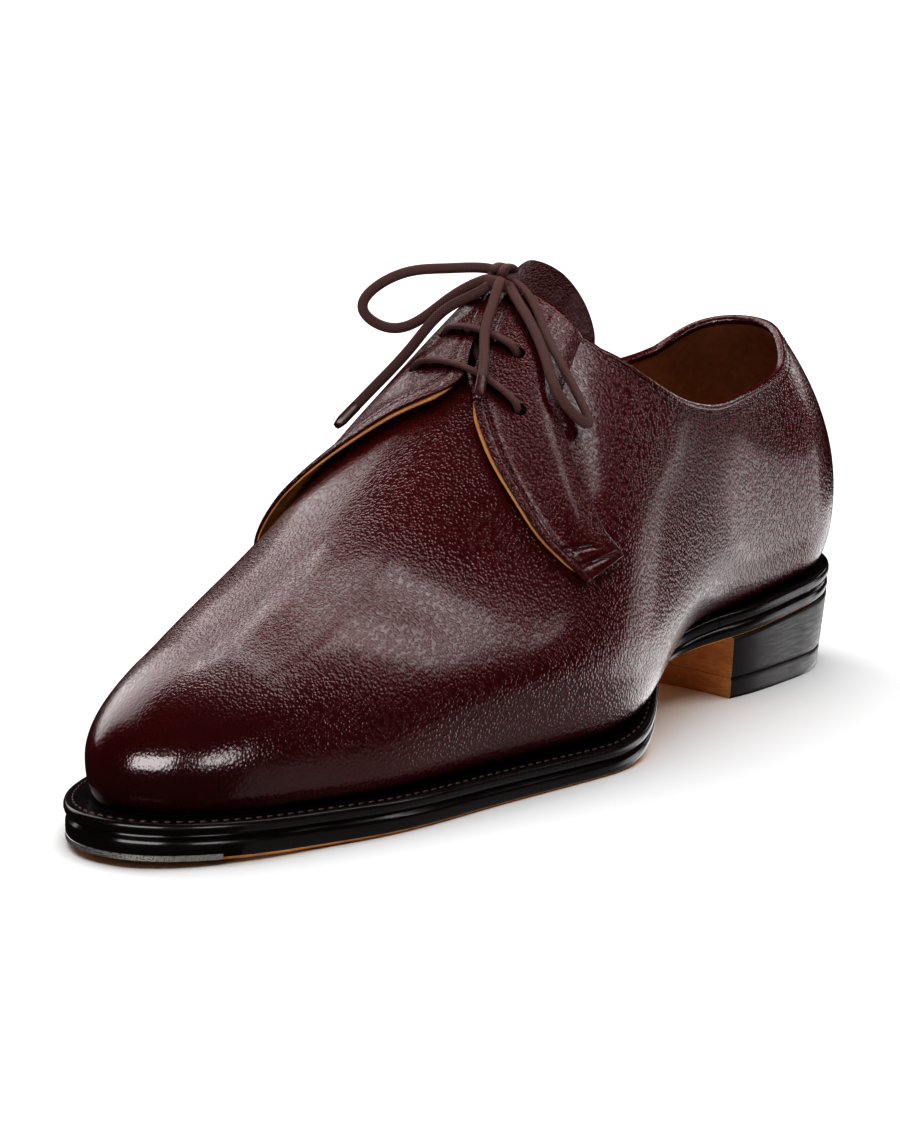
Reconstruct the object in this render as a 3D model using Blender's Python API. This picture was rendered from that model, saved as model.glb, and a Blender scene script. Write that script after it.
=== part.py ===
"""A left derby shoe on its sole: welted leather sole, stacked heel, hollow upper, facings, tongue and lace.

Sizes are in millimetres until a mesh is made. x points to the shoe's outer side, a station runs from the back
of the heel to the toe and z is up. The toe points to -Y.
"""
import math

import bmesh
import bpy
import numpy as np

MM = 0.001
OUT, IN = 1, -1

# Thicknesses and clearances
GAP = 0.3
WALL = 2.2
MARGIN = 3.0
WELT = 3.0
SOLE_WAIST = 4.6
SOLE_TOE = 7.0
SOLE_STEP = 0.5
INSOLE_RISE = 2.6
TONGUE = 2.0
TONGUE_GAP = 0.5
FACING = 1.6

# Tread line
BALL_BACK = 156.0
BALL_FRONT = 209.0
TOE_SPRING = 2.0
BREAST = 68.0
SEAT_Z = 18.0
SEAT_SLOPE = 0.07
WAIST_FRONT = 150.0
WAIST_ROUND = 2.6

# Heel block
TOP_PIECE = 6.0
HEEL_TAPER = 1.2
HEEL_PITCH = 4.0
TIP_STATION = 18.0
RAND_FRONT = 74.0
BREAST_HOLLOW = 3.0

# Metal tap in the toe
PLATE_REACH = 0.62
PLATE_REACH_CLEAR = 0.0075
PLATE_DEPTH = 13.0
PLATE_THICK = 2.0
RECESS_OVER = 2.0

# Lace and its holes
LACE = 2.4
EYELET = 4.2
EYELET_SIDES = 14
HOLE_REACH = 5.0
LACE_DIP = 0.8
BAR_SPACING = 2.0
KNOT_SPACING = 1.5
BOW_SPACING = 4.8

# Plan ends of the outlines and where their rounds begin
TOE_CENTRE = 263.0
HEEL_CENTRE = 34.0
TOE_TIP = {"feather": 297.5, "belly": 298.5, "edge": 305.0}
HEEL_END = {"feather": 3.0, "belly": -1.5, "edge": 0.0}
TOE_ROUND = 2.28
HEEL_ROUND = 2.1

# Facets: lines round the upper's toe and heel, and steps along the strips and plates of the bottom
TOE_LINES = 9
HEEL_LINES = 8
STRIP_SIDE = 22
STRIP_END = 10
RAND_SIDE = 6
PLATE_SIDE = 20
PLATE_TOE = 10
PLATE_HEEL = 8
PLATE_SHARES = (-1.0, -0.75, 0.0, 0.75, 1.0)
BLOCK_SIDE = 6
BLOCK_BACK = 12

# One row for each cross-section of the last
SECTION_COLUMNS = ("station", "feather_out", "feather_in", "edge_out", "edge_in", "belly_out", "belly_in",
                   "belly_rise", "ridge_x", "ridge_z", "lean_out", "lean_in")
SECTIONS = (
    (0, 27.5, 27.5, 3.5, 3.5, 31.5, 31.5, 22, -6.0, 122.0, 1.00, 1.00),
    (34, 27.5, 27.5, 3.5, 3.5, 32.0, 32.0, 22, -6.0, 122.0, 1.00, 1.00),
    (68, 26.5, 26.5, 3.0, 3.0, 33.0, 33.0, 22, -8.0, 132.0, 0.50, 0.50),
    (95, 24.0, 23.0, 1.5, 1.5, 37.0, 34.0, 22, -9.0, 142.0, 0.15, 0.12),
    (115, 33.0, 25.0, 2.5, 1.5, 42.0, 37.0, 21, -9.0, 132.0, 0.10, 0.05),
    (138, 42.5, 33.0, 5.5, 3.5, 47.0, 43.0, 18, -7.5, 118.0, 0.05, -0.08),
    (165, 42.0, 42.0, 6.5, 6.0, 46.0, 49.0, 15, -6.5, 100.0, 0.00, -0.12),
    (205, 36.0, 48.0, 7.0, 6.5, 40.0, 52.0, 12, -7.0, 73.0, 0.00, -0.02),
    (240, 31.0, 42.0, 7.0, 6.5, 34.0, 45.0, 10, -7.0, 57.5, -0.10, -0.05),
    (263, 23.5, 35.0, 7.0, 7.0, 26.0, 37.0, 11, -7.0, 48.5, -0.15, -0.12),
    (300, 14.0, 26.0, 7.5, 7.5, 16.0, 28.0, 10, -7.0, 40.0, -0.15, -0.15),
)

# Rim of the upper from the vamp's point up the throat and down the collar, a row for each wall line.
# Columns: feather station, then station and girth from the ridge where the line stops, outer and inner side
RIM = (
    (263.0, 263.0, 0.0, 263.0, 0.0),
    (230.0, 228.0, 0.0, 228.0, 0.0),
    (198.0, 190.0, 3.0, 190.0, -3.0),
    (172.0, 157.0, 9.3, 157.0, -9.3),
    (169.0, 155.5, 11.0, 155.5, -7.6),
    (165.0, 152.0, 12.0, 152.0, -3.0),
    (160.0, 145.0, 9.5, 145.0, -0.5),
    (156.0, 138.0, 7.5, 138.0, 1.5),
    (152.0, 131.0, 6.2, 131.0, 2.8),
    (149.0, 129.3, 6.5, 129.3, 3.2),
    (146.0, 129.6, 12.0, 129.6, 9.0),
    (142.0, 129.5, 19.0, 129.5, 14.6),
    (137.0, 127.2, 27.7, 127.5, 20.2),
    (131.0, 123.8, 35.4, 124.0, 26.0),
    (124.0, 118.0, 43.4, 118.5, 32.2),
    (117.0, 113.4, 50.6, 113.4, 37.8),
)
RIM_STEPS = (3, 4, 4, 1, 2, 2, 2, 2, 1, 1, 2, 2, 2, 2, 1)

# Height of the collar behind the rim's last row
COLLAR_COLUMNS = ("station", "top_out", "top_in")
COLLAR = (
    (-1.5, 99.5, 99.5),
    (15, 96.5, 96.5),
    (30, 90.5, 92.0),
    (45, 87.2, 89.5),
    (60, 86.3, 89.0),
    (75, 86.5, 90.0),
    (88, 89.0, 92.5),
    (102, 94.2, 97.0),
    (113.4, 101.5, 103.0),
)
COLLAR_STATIONS = (108, 101, 93, 84, 75, 66, 57, 46)

# Facings, a row across the strip from the collar to its squared end.
# Columns: station and girth of the front edge, station and girth of the rear edge
FACING_ROWS = {
    OUT: (
        (128.8, 3.2, 126.6, 29.0),
        (136.0, 3.6, 138.0, 32.0),
        (143.0, 5.2, 145.5, 35.0),
        (152.0, 8.0, 148.5, 39.0),
        (159.5, 11.2, 150.0, 45.0),
        (166.3, 18.0, 150.4, 51.0),
        (171.0, 27.0, 150.3, 57.0),
        (172.4, 35.0, 150.0, 62.0),
        (172.0, 43.0, 149.2, 67.0),
        (169.8, 53.5, 147.8, 72.0),
        (165.2, 64.6, 146.0, 77.0),
        (160.5, 75.0, 144.5, 80.5),
    ),
    IN: (
        (128.8, 0.3, 126.8, 27.0),
        (136.0, -0.2, 138.0, 30.0),
        (143.0, -2.2, 146.0, 33.0),
        (152.0, -5.2, 152.0, 37.0),
        (159.5, -8.2, 157.0, 42.0),
        (167.0, -4.0, 161.0, 47.0),
        (174.0, 4.0, 164.0, 52.0),
        (181.0, 12.0, 166.0, 57.0),
        (187.0, 22.0, 167.0, 62.0),
        (190.5, 33.0, 168.0, 66.0),
        (191.0, 45.0, 168.6, 69.0),
        (187.0, 56.0, 169.0, 72.0),
    ),
}
FACING_ACROSS = 10

# Soft swells and hollows of the vamp.
# Columns: side, station, height over the feather, amount, reach along the shoe, reach up the wall
RELIEF = (
    (OUT, 182.0, 25.0, 2.5, 42.0, 12.0),
    (OUT, 197.0, 54.0, -5.2, 30.0, 15.0),
)

# Lace holes from the collar down. Columns: station, girth
EYELETS = {
    OUT: ((134.0, 12.5), (145.6, 16.9), (157.1, 26.5)),
    IN: ((134.0, 8.5), (145.6, 7.5), (157.1, 9.5)),
}

# Tongue edges. Columns: station, girth from the ridge on the outer side and on the inner side
TONGUE_ROWS = (
    (172.0, 20.0, 0.0),
    (157.0, 29.0, 11.0),
    (145.0, 30.0, 21.0),
    (132.0, 33.0, 29.0),
    (123.0, 34.0, 30.0),
    (118.5, 29.0, 26.0),
    (116.2, 21.0, 19.0),
    (115.2, 12.0, 10.0),
)
TONGUE_STEPS = 2
TONGUE_ACROSS = 10

# Bow: the knot is a short winding, the other runs go through route points of x, station and z
KNOT_CENTRE = (-7.0, 130.0, 128.3)
KNOT_RADIUS = 2.0
KNOT_PITCH = 3.0
KNOT_TURNS = 1.5
BOW_ROUTES = {
    "lace_loop_inner": (
        (-11.9, 129.4, 128.9), (-22.4, 135.6, 128.9), (-33.5, 145.8, 126.7), (-38.6, 152.9, 118.4),
        (-31.5, 151.0, 113.6), (-19.0, 140.9, 120.9), (-11.9, 134.6, 126.2),
    ),
    "lace_loop_outer": (
        (-0.8, 134.6, 124.6), (6.6, 138.4, 119.6), (18.1, 144.8, 109.2), (28.3, 148.2, 97.6),
        (32.4, 145.4, 93.4), (25.6, 143.0, 103.2), (13.6, 138.9, 115.6), (0.3, 131.9, 125.7),
    ),
    "lace_end_inner": (
        (-9.5, 136.0, 124.6), (-16.2, 143.7, 119.6), (-22.3, 151.7, 109.5), (-28.8, 160.1, 98.8),
        (-35.7, 169.0, 87.9),
    ),
    "lace_end_middle": (
        (-4.0, 136.5, 126.4), (-1.3, 142.9, 122.2), (2.2, 151.1, 116.3), (6.9, 157.7, 110.6),
        (12.5, 168.1, 101.4),
    ),
}


def table(columns, rows):
    """Smooth curve through each column of a table, against its first column."""
    return {name: spline([row[0] for row in rows], [row[k] for row in rows])
            for k, name in enumerate(columns) if k}


def spline(xs, ys):
    """Natural cubic spline through points with rising xs."""
    xs = np.asarray(xs, float)
    ys = np.asarray(ys, float)
    count = len(xs)
    step = np.diff(xs)
    lhs = np.eye(count)
    rhs = np.zeros(count)
    for i in range(1, count - 1):
        lhs[i, i - 1:i + 2] = step[i - 1], 2 * (step[i - 1] + step[i]), step[i]
        rhs[i] = 6 * ((ys[i + 1] - ys[i]) / step[i] - (ys[i] - ys[i - 1]) / step[i - 1])
    bend = np.linalg.solve(lhs, rhs)

    def at(x):
        i = int(np.clip(np.searchsorted(xs, x) - 1, 0, count - 2))
        t = x - xs[i]
        slope = (ys[i + 1] - ys[i]) / step[i] - step[i] * (2 * bend[i] + bend[i + 1]) / 6
        return float(ys[i] + slope * t + bend[i] * t ** 2 / 2 + (bend[i + 1] - bend[i]) / (6 * step[i]) * t ** 3)

    return at


LAST = table(SECTION_COLUMNS, SECTIONS)
TOPLINE = table(COLLAR_COLUMNS, COLLAR)


def tread_z(station):
    """Height of the sole's lower face: flat under the ball, rising to the toe, over the arch to the seat."""
    if station >= BALL_FRONT:
        return TOE_SPRING * ((station - BALL_FRONT) / (TOE_TIP["edge"] - BALL_FRONT)) ** 2
    if station >= BALL_BACK:
        return 0.0
    if station <= BREAST:
        return SEAT_Z + SEAT_SLOPE * (BREAST - station)
    span = BALL_BACK - BREAST
    t = (BALL_BACK - station) / span
    return SEAT_Z * t * t * (3 - 2 * t) + SEAT_SLOPE * span * (t ** 3 - t ** 2)


def sole_top(station):
    """Height of the sole's upper face; the sole thickens from the ball to the toe."""
    t = min(max((station - BALL_BACK) / (TOE_TIP["edge"] - BALL_BACK), 0.0), 1.0)
    return tread_z(station) + SOLE_WAIST + (SOLE_TOE - SOLE_WAIST) * t


def feather_z(station):
    """Height of the line where the upper turns in over the welt."""
    return sole_top(station) + WELT + 2 * GAP


def q_of(station):
    """Place round the shoe of a side station: 0 toe tip, 1 toe centre, 2 heel centre, 3 heel back."""
    return 1 + (TOE_CENTRE - station) / (TOE_CENTRE - HEEL_CENTRE)


def plan(layer, side, q, grow=0.0):
    """Point (x, station) of an outline at q, moved out by grow."""
    if q <= 1:
        u = math.cos(q * math.pi / 2)
        station = TOE_CENTRE + (TOE_TIP[layer] + grow - TOE_CENTRE) * u
        cap = (1 - u ** TOE_ROUND) ** (1 / TOE_ROUND)
    elif q <= 2:
        station = TOE_CENTRE + (HEEL_CENTRE - TOE_CENTRE) * (q - 1)
        cap = 1.0
    else:
        u = math.sin((q - 2) * math.pi / 2)
        station = HEEL_CENTRE + (HEEL_END[layer] - grow - HEEL_CENTRE) * u
        cap = (1 - u ** HEEL_ROUND) ** (1 / HEEL_ROUND)
    base = "feather" if layer == "edge" else layer
    outer = LAST[base + "_out"](station) + grow
    inner = LAST[base + "_in"](station) + grow
    if layer == "edge":
        outer += LAST["edge_out"](station)
        inner += LAST["edge_in"](station)
    return np.array([(outer - inner) / 2 + side * (outer + inner) / 2 * cap, station])


def spine(q):
    """Point (x, station) below the ridge that the wall line at q climbs to."""
    station = min(max(TOE_CENTRE + (HEEL_CENTRE - TOE_CENTRE) * (q - 1), HEEL_CENTRE), TOE_CENTRE)
    return np.array([LAST["ridge_x"](station), station])


def swell(side, station, height):
    """Sideways swell of one side's wall at a station and a height over the feather."""
    total = 0.0
    for own_side, middle, level, amount, reach, spread in RELIEF:
        if side == own_side:
            total += amount * math.exp(-((station - middle) / reach) ** 2 - ((height - level) / spread) ** 2)
    return side * total


def wall_line(side, q, steps):
    """Points up one wall line of the last, steps from 0 at the feather through 1 at the belly to 2 at the ridge."""
    if q < 0:
        side, q = -side, -q
    if q > 3:
        side, q = -side, 6 - q
    foot = plan("feather", side, q)
    belly = plan("belly", side, q)
    top = spine(q)
    foot_z = feather_z(foot[1])
    belly_z = foot_z + LAST["belly_rise"](foot[1])
    lean_out, lean_in = LAST["lean_out"](top[1]), LAST["lean_in"](top[1])
    lean = (lean_out + lean_in) / 2 + side * min(q, 1.0) * (lean_out - lean_in) / 2
    points = []
    for step in steps:
        if step <= 1:
            angle = step * math.pi / 2
            place = foot + (belly - foot) * math.sin(angle)
            z = foot_z + (belly_z - foot_z) * (1 - math.cos(angle))
            fade = math.sin(angle)
        else:
            angle = (step - 1) * math.pi / 2
            shrink = math.cos(angle)
            place = top + (belly - top) * ((1 - lean) * shrink + lean * shrink ** 2)
            ridge_z = LAST["ridge_z"](place[1] if q < 1 else top[1])
            z = belly_z + (ridge_z - belly_z) * math.sin(angle)
            fade = shrink
        points.append((place[0] + fade * swell(side, place[1], z - foot_z), place[1], z))
    return np.array(points)


WALL_STEPS = np.concatenate([np.linspace(0, 1, 13)[:-1], np.linspace(1, 2, 33)])
wall_cache = {}


def measured_line(side, q):
    """Girth left to the ridge at each step of the wall line at q."""
    key = (side, round(q, 7))
    if key not in wall_cache:
        points = wall_line(side, q, WALL_STEPS)
        runs = np.linalg.norm(np.diff(points, axis=0), axis=1)
        wall_cache[key] = np.concatenate([np.cumsum(runs[::-1])[::-1], [0.0]])
    return wall_cache[key]


def girth(side, q):
    """Length of the wall line at q from the ridge to the feather."""
    return measured_line(side, q)[0]


def skin(side, q, share):
    """Point of the last where share of the girth is left to the ridge; below 0 over the ridge, above 1 turned in."""
    if share < 0:
        share = -share * girth(side, q) / girth(-side, q)
        side = -side
    if share > 1:
        foot = plan("feather", side, q)
        inward = plan("feather", side, q, -MARGIN) - foot
        place = foot + inward * (share - 1)
        return np.array([place[0], place[1], feather_z(foot[1])])
    lengths = measured_line(side, q)
    step = np.interp(share * lengths[0], lengths[::-1], WALL_STEPS[::-1])
    return wall_line(side, q, [step])[0]


def outward(side, q, share):
    """Unit normal of the last at a point of its skin."""
    near = 0.004
    if share >= 1:
        return np.array([0.0, 0.0, -1.0])
    if q <= 1 and share < 0.03:
        rise = LAST["ridge_z"](TOE_CENTRE + 0.5) - LAST["ridge_z"](TOE_CENTRE - 0.5)
        normal = np.array([0.0, -rise, 1.0])
        return normal / np.linalg.norm(normal)
    along = skin(side, q + near, share) - skin(side, q - near, share)
    up = skin(side, q, share - near) - skin(side, q, min(share + near, 1.0))
    normal = np.cross(up, along) * side
    return normal / np.linalg.norm(normal)


def lifted(side, q, share, height):
    """Point that stands height above the last's skin."""
    return skin(side, q, share) + outward(side, q, share) * height


def at_girth(side, station, length, height):
    """Point height above the skin at a station and a girth from the ridge."""
    q = q_of(station)
    return lifted(side, q, length / girth(side, q), height)


def make_object(name, vertices, faces, colour, rough=0.5, metal=0.0):
    """Closed mesh object from points in millimetres of the last's frame."""
    mesh = bpy.data.meshes.new(name)
    bm = bmesh.new()
    rows = [bm.verts.new((x * MM, -station * MM, z * MM)) for x, station, z in vertices]
    for face in faces:
        bm.faces.new([rows[i] for i in face])
    bmesh.ops.remove_doubles(bm, verts=bm.verts, dist=0.00001)
    bmesh.ops.dissolve_degenerate(bm, edges=bm.edges, dist=0.00001)
    bmesh.ops.recalc_face_normals(bm, faces=bm.faces)
    bm.to_mesh(mesh)
    bm.free()
    return finish(bpy.data.objects.new(name, mesh), colour, rough, metal)


def finish(thing, colour, rough=0.5, metal=0.0):
    """Links an object and gives it its own material."""
    bpy.context.collection.objects.link(thing)
    material = bpy.data.materials.new(thing.name)
    material.use_nodes = True
    shader = material.node_tree.nodes["Principled BSDF"]
    shader.inputs["Base Color"].default_value = (*colour, 1.0)
    shader.inputs["Roughness"].default_value = rough
    shader.inputs["Metallic"].default_value = metal
    thing.data.materials.append(material)
    return thing


def sheet_faces(lines, across, closed):
    """Faces of a closed body from lines of points: each line runs along the outer skin, then the inner one."""
    faces = []
    count = len(lines)
    width = 2 * across
    for i in range(count if closed else count - 1):
        a = i * width
        b = (i + 1) % count * width
        for k in range(width):
            n = (k + 1) % width
            faces.append((a + k, a + n, b + n, b + k))
    if not closed:
        for a in (0, (count - 1) * width):
            for k in range(across - 1):
                faces.append((a + k, a + k + 1, a + width - 2 - k, a + width - 1 - k))
    return faces


def rim_lines():
    """Wall lines of the upper from toe tip to heel back: q at the foot, q at the rim, share at the rim per side."""
    lines = {OUT: [], IN: []}
    for i in range(TOE_LINES):
        for side in (OUT, IN):
            lines[side].append((i / TOE_LINES, i / TOE_LINES, 0.0))
    for (one, two), steps in zip(zip(RIM, RIM[1:]), RIM_STEPS):
        for k in range(steps):
            base, out_station, out_girth, in_station, in_girth = np.add(one, np.subtract(two, one) * (k / steps))
            for side, station, length in ((OUT, out_station, out_girth), (IN, in_station, in_girth)):
                lines[side].append((q_of(base), q_of(station), length / girth(side, q_of(station))))
    base, out_station, out_girth, in_station, in_girth = RIM[-1]
    for side, station, length in ((OUT, out_station, out_girth), (IN, in_station, in_girth)):
        lines[side].append((q_of(base), q_of(station), length / girth(side, q_of(station))))
        back = [q_of(s) for s in COLLAR_STATIONS] + [2 + i / HEEL_LINES for i in range(HEEL_LINES + 1)]
        lines[side] += [(q, q, collar_share(side, q)) for q in back]
    return lines


def collar_share(side, q):
    """Share of the girth above the collar's edge on the wall line at q."""
    want = TOPLINE["top_out" if side == OUT else "top_in"](plan("belly", side, q)[1])
    heights = wall_line(side, q, WALL_STEPS)[:, 2]
    lengths = measured_line(side, q)
    return np.interp(want, heights, lengths) / lengths[0]


# Heights of the upper's rows, from 0 at the feather to 1 at the rim
WALL_ROWS = (0.0, 0.04, 0.1, 0.18, 0.28, 0.39, 0.5, 0.6, 0.69, 0.77, 0.85, 0.925, 1.0)


def upper():
    """One hollow wall round the foot, turned in under its feather and open at collar and throat."""
    lines = rim_lines()
    ring = [(OUT, line) for line in lines[OUT]] + [(IN, line) for line in lines[IN][-2:0:-1]]
    columns = []
    for side, (foot_q, rim_q, rim_share) in ring:
        places = [(foot_q, 2.0)]
        for row in WALL_ROWS:
            places.append((foot_q + (rim_q - foot_q) * row, 1 + (rim_share - 1) * row))
        outer = [lifted(side, q, share, 0.0) for q, share in places]
        inner = [lifted(side, q, share, -WALL) for q, share in places]
        columns.append(outer + inner[::-1])
    across = len(WALL_ROWS) + 1
    faces = sheet_faces(columns, across, True)
    closed_q = q_of(RIM[3][0])
    shut = [i for i, (side, line) in enumerate(ring) if line[0] <= closed_q + 1e-9]
    width = 2 * across
    seam = {(i * width + across - 1, i * width + across) for i in shut}
    kept = []
    for face in faces:
        rims = sum(1 for a, b in seam if a in face and b in face)
        if rims < 2:
            kept.append(face)
    points = [point for column in columns for point in column]
    return make_object("upper", points, kept, (0.06, 0.016, 0.014), 0.35)


def strip(name, side, rows, across, low, high, colour):
    """Body between two heights over the skin; each row gives two edge points as station and girth."""
    lines = []
    for first, last in rows:
        places = []
        for k in range(across):
            station, length = np.add(first, np.subtract(last, first) * (k / (across - 1)))
            places.append((station, length))
        outer = [at_girth(side, s, g, high) for s, g in places]
        inner = [at_girth(side, s, g, low) for s, g in places]
        lines.append(outer + inner[::-1])
    points = [point for line in lines for point in line]
    return make_object(name, points, sheet_faces(lines, across, False), colour, 0.35)


def tongue():
    """Soft sheet under the throat, from below the vamp to its rounded top above the collar."""
    rows = []
    for one, two in zip(TONGUE_ROWS, TONGUE_ROWS[1:]):
        for k in range(TONGUE_STEPS):
            rows.append(np.add(one, np.subtract(two, one) * (k / TONGUE_STEPS)))
    rows.append(np.array(TONGUE_ROWS[-1]))
    edges = [((station, out_girth), (station, -in_girth)) for station, out_girth, in_girth in rows]
    top = -WALL - TONGUE_GAP
    return strip("tongue", OUT, edges, TONGUE_ACROSS, top - TONGUE, top, (0.05, 0.014, 0.013))


def facing(side):
    """Eyelet facing sewn on over the upper."""
    edges = [((row[0], row[1]), (row[2], row[3])) for row in FACING_ROWS[side]]
    name = "facing_outer" if side == OUT else "facing_inner"
    return strip(name, side, edges, FACING_ACROSS, GAP, GAP + FACING, (0.05, 0.014, 0.013))


def punch(thing, side, width):
    """Cuts the lace holes of one side through an object."""
    for number, (station, length) in enumerate(EYELETS[side]):
        middle = at_girth(side, station, length, 0.0)
        axis = at_girth(side, station, length, 1.0) - middle
        axis = axis / np.linalg.norm(axis)
        across = np.cross(axis, (0.0, 1.0, 0.0))
        across = across / np.linalg.norm(across)
        other = np.cross(axis, across)
        points = []
        for reach in (-HOLE_REACH, HOLE_REACH):
            for k in range(EYELET_SIDES):
                turn = 2 * math.pi * k / EYELET_SIDES
                spoke = across * math.cos(turn) + other * math.sin(turn)
                points.append(middle + axis * reach + spoke * width / 2)
        n = EYELET_SIDES
        faces = [tuple(range(n)), tuple(range(2 * n - 1, n - 1, -1))]
        faces += [(k, (k + 1) % n, n + (k + 1) % n, n + k) for k in range(n)]
        cutter = make_object(f"{thing.name}_hole_{side}_{number}", points, faces, (0.5, 0.5, 0.5))
        cut(thing, cutter)


def cut(thing, cutter):
    """Takes a cutter's volume out of an object."""
    modifier = thing.modifiers.new(cutter.name, "BOOLEAN")
    modifier.operation = "DIFFERENCE"
    modifier.solver = "EXACT"
    modifier.object = cutter
    cutter.hide_render = True
    cutter.display_type = "WIRE"


def ring_of(places):
    """Places round the shoe as (side, q), from one outer q over the toe or heel to the same inner q."""
    return [(OUT, q) for q in places] + [(IN, q) for q in places[::-1]]


def band(name, places, inner_edge, outer_edge, low, high, colour, rough=0.4, metal=0.0):
    """Open strip of the sole: inner and outer plan lines between two heights."""
    points = []
    faces = []
    for side, q in places:
        for line in (outer_edge, inner_edge):
            x, station = line(side, q)
            points += [(x, station, low(station)), (x, station, high(station))]
    for i in range(len(places) - 1):
        a, b = 4 * i, 4 * i + 4
        for k, n in ((0, 1), (1, 3), (3, 2), (2, 0)):
            faces.append((a + k, a + n, b + n, b + k))
    last = 4 * (len(places) - 1)
    faces += [(0, 1, 3, 2), (last, last + 1, last + 3, last + 2)]
    return make_object(name, points, faces, colour, rough, metal)


def welt():
    """Strip between upper and sole from breast to breast round the toe."""
    sides = [q_of(s) for s in np.linspace(RAND_FRONT + GAP, TOE_CENTRE, STRIP_SIDE)]
    toe = [1 - k / STRIP_END for k in range(1, STRIP_END + 1)]
    places = ring_of(sides + toe)
    del places[len(places) // 2]
    return band("welt", places, lambda side, q: plan("feather", side, q, -MARGIN),
                lambda side, q: plan("edge", side, q),
                lambda s: sole_top(s) + GAP, lambda s: sole_top(s) + GAP + WELT, (0.012, 0.010, 0.010))


def heel_rand():
    """Strip round the heel seat, behind the welt's ends."""
    sides = [q_of(s) for s in np.linspace(RAND_FRONT, HEEL_CENTRE, RAND_SIDE)]
    back = [2 + k / STRIP_END for k in range(1, STRIP_END + 1)]
    places = ring_of(sides + back)
    del places[len(places) // 2]
    return band("heel_rand", places, lambda side, q: plan("feather", side, q, -MARGIN),
                lambda side, q: plan("edge", side, q),
                lambda s: sole_top(s) + GAP, lambda s: sole_top(s) + GAP + WELT, (0.012, 0.010, 0.010))


def plate(name, layer, grow, low, high, colour, rough=0.5):
    """Full plate inside an outline: rows of points across it, with a lower and an upper height function."""
    qs = [k / PLATE_TOE for k in range(PLATE_TOE)]
    qs += [q_of(s) for s in np.linspace(TOE_CENTRE, HEEL_CENTRE, PLATE_SIDE + 1)]
    qs += [2 + k / PLATE_HEEL for k in range(1, PLATE_HEEL + 1)]
    lines = []
    for q in qs:
        outer = plan(layer, OUT, q, grow)
        inner = plan(layer, IN, q, grow)
        middle = (outer + inner) / 2
        row = [(middle + (outer - middle) * k, k) for k in PLATE_SHARES]
        top = [(p[0], p[1], high(p[1])) for p, k in row]
        bottom = [(p[0], p[1], low(p[1], k)) for p, k in row]
        lines.append(top + bottom[::-1])
    points = [point for line in lines for point in line]
    return make_object(name, points, sheet_faces(lines, len(PLATE_SHARES), False), colour, rough)


def waist_bottom(station, share):
    """Lower face of the sole, rounded up to its edges through the waist."""
    t = (station - BREAST) / (WAIST_FRONT - BREAST)
    lift = WAIST_ROUND * math.sin(math.pi * t) ** 2 if 0 < t < 1 else 0.0
    return tread_z(station) + lift * abs(share) ** 3


def outsole():
    """Leather sole with a recess for the metal tap in its toe."""
    sole = plate("outsole", "edge", -SOLE_STEP, waist_bottom, sole_top, (0.020, 0.014, 0.012))
    recess = toe_tap("toe_plate_recess", GAP, SOLE_STEP + RECESS_OVER)
    cut(sole, recess)
    return sole


def toe_tap(name, clear, proud):
    """Crescent under the toe, grown by a clearance; proud carries it past the sole's edge."""
    reach = PLATE_REACH + (PLATE_REACH_CLEAR if clear else 0.0)
    half = [reach * (1 - k / TOE_LINES) for k in range(TOE_LINES + 1)]
    places = ring_of(half)
    del places[len(places) // 2]
    low = -RECESS_OVER if clear else 0.0
    return band(name, places, lambda side, q: plan("edge", side, q, -PLATE_DEPTH - clear),
                lambda side, q: plan("edge", side, q, proud - SOLE_STEP),
                lambda s: tread_z(s) + low, lambda s: tread_z(s) + PLATE_THICK + clear,
                (0.62, 0.60, 0.57), 0.3, 1.0)


def insole():
    """Footbed that fills the inside of welt, rand and turned-in upper."""
    return plate("insole", "feather", -MARGIN - GAP, lambda s, k: sole_top(s) + GAP,
                 lambda s: feather_z(s) + INSOLE_RISE, (0.45, 0.27, 0.13), 0.7)


def heel_rings(low, high):
    """Two rings of points round the heel block, at a lower and an upper height, from breast to breast."""
    sides = [q_of(s) for s in np.linspace(BREAST, HEEL_CENTRE, BLOCK_SIDE)]
    places = ring_of(sides + [2 + k / BLOCK_BACK for k in range(1, BLOCK_BACK + 1)])
    del places[len(places) // 2]
    rings = []
    for height in (low, high):
        ring = []
        for side, q in places:
            x, station = plan("edge", side, q, -SOLE_STEP)
            z = height(station)
            drop = 1 - z / tread_z(station)
            station += HEEL_PITCH * drop * max(0.0, 1 - station / BREAST)
            ring.append((x - side * HEEL_TAPER * drop, station, z))
        rings.append(ring)
    return rings


def block(name, rings, colour, rough=0.45):
    """Closed body between a lower and an upper ring, its front face bowed in."""
    count = len(rings[0])
    points = rings[0] + rings[1]
    shares = (0.25, 0.5, 0.75)
    for ring in rings:
        start = np.array(ring[-1])
        end = np.array(ring[0])
        for t in shares:
            x, station, z = start + (end - start) * t
            points.append((x, station - BREAST_HOLLOW * math.sin(math.pi * t), z))
    low = list(range(count)) + [2 * count + k for k in range(len(shares))]
    high = list(range(count, 2 * count)) + [2 * count + len(shares) + k for k in range(len(shares))]
    faces = [tuple(low), tuple(high)]
    for k in range(len(low)):
        n = (k + 1) % len(low)
        faces.append((low[k], low[n], high[n], high[k]))
    return make_object(name, points, faces, colour, rough)


def slab(name, back, front):
    """Wide cutter over the heel between two stations."""
    half, low, high = 60.0, -5.0, TOP_PIECE + 5.0
    points = [(x, s, z) for z in (low, high) for x, s in ((-half, back), (half, back), (half, front), (-half, front))]
    faces = [(0, 1, 2, 3), (4, 5, 6, 7)] + [(k, (k + 1) % 4, 4 + (k + 1) % 4, 4 + k) for k in range(4)]
    return make_object(name, points, faces, (0.5, 0.5, 0.5))


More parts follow.
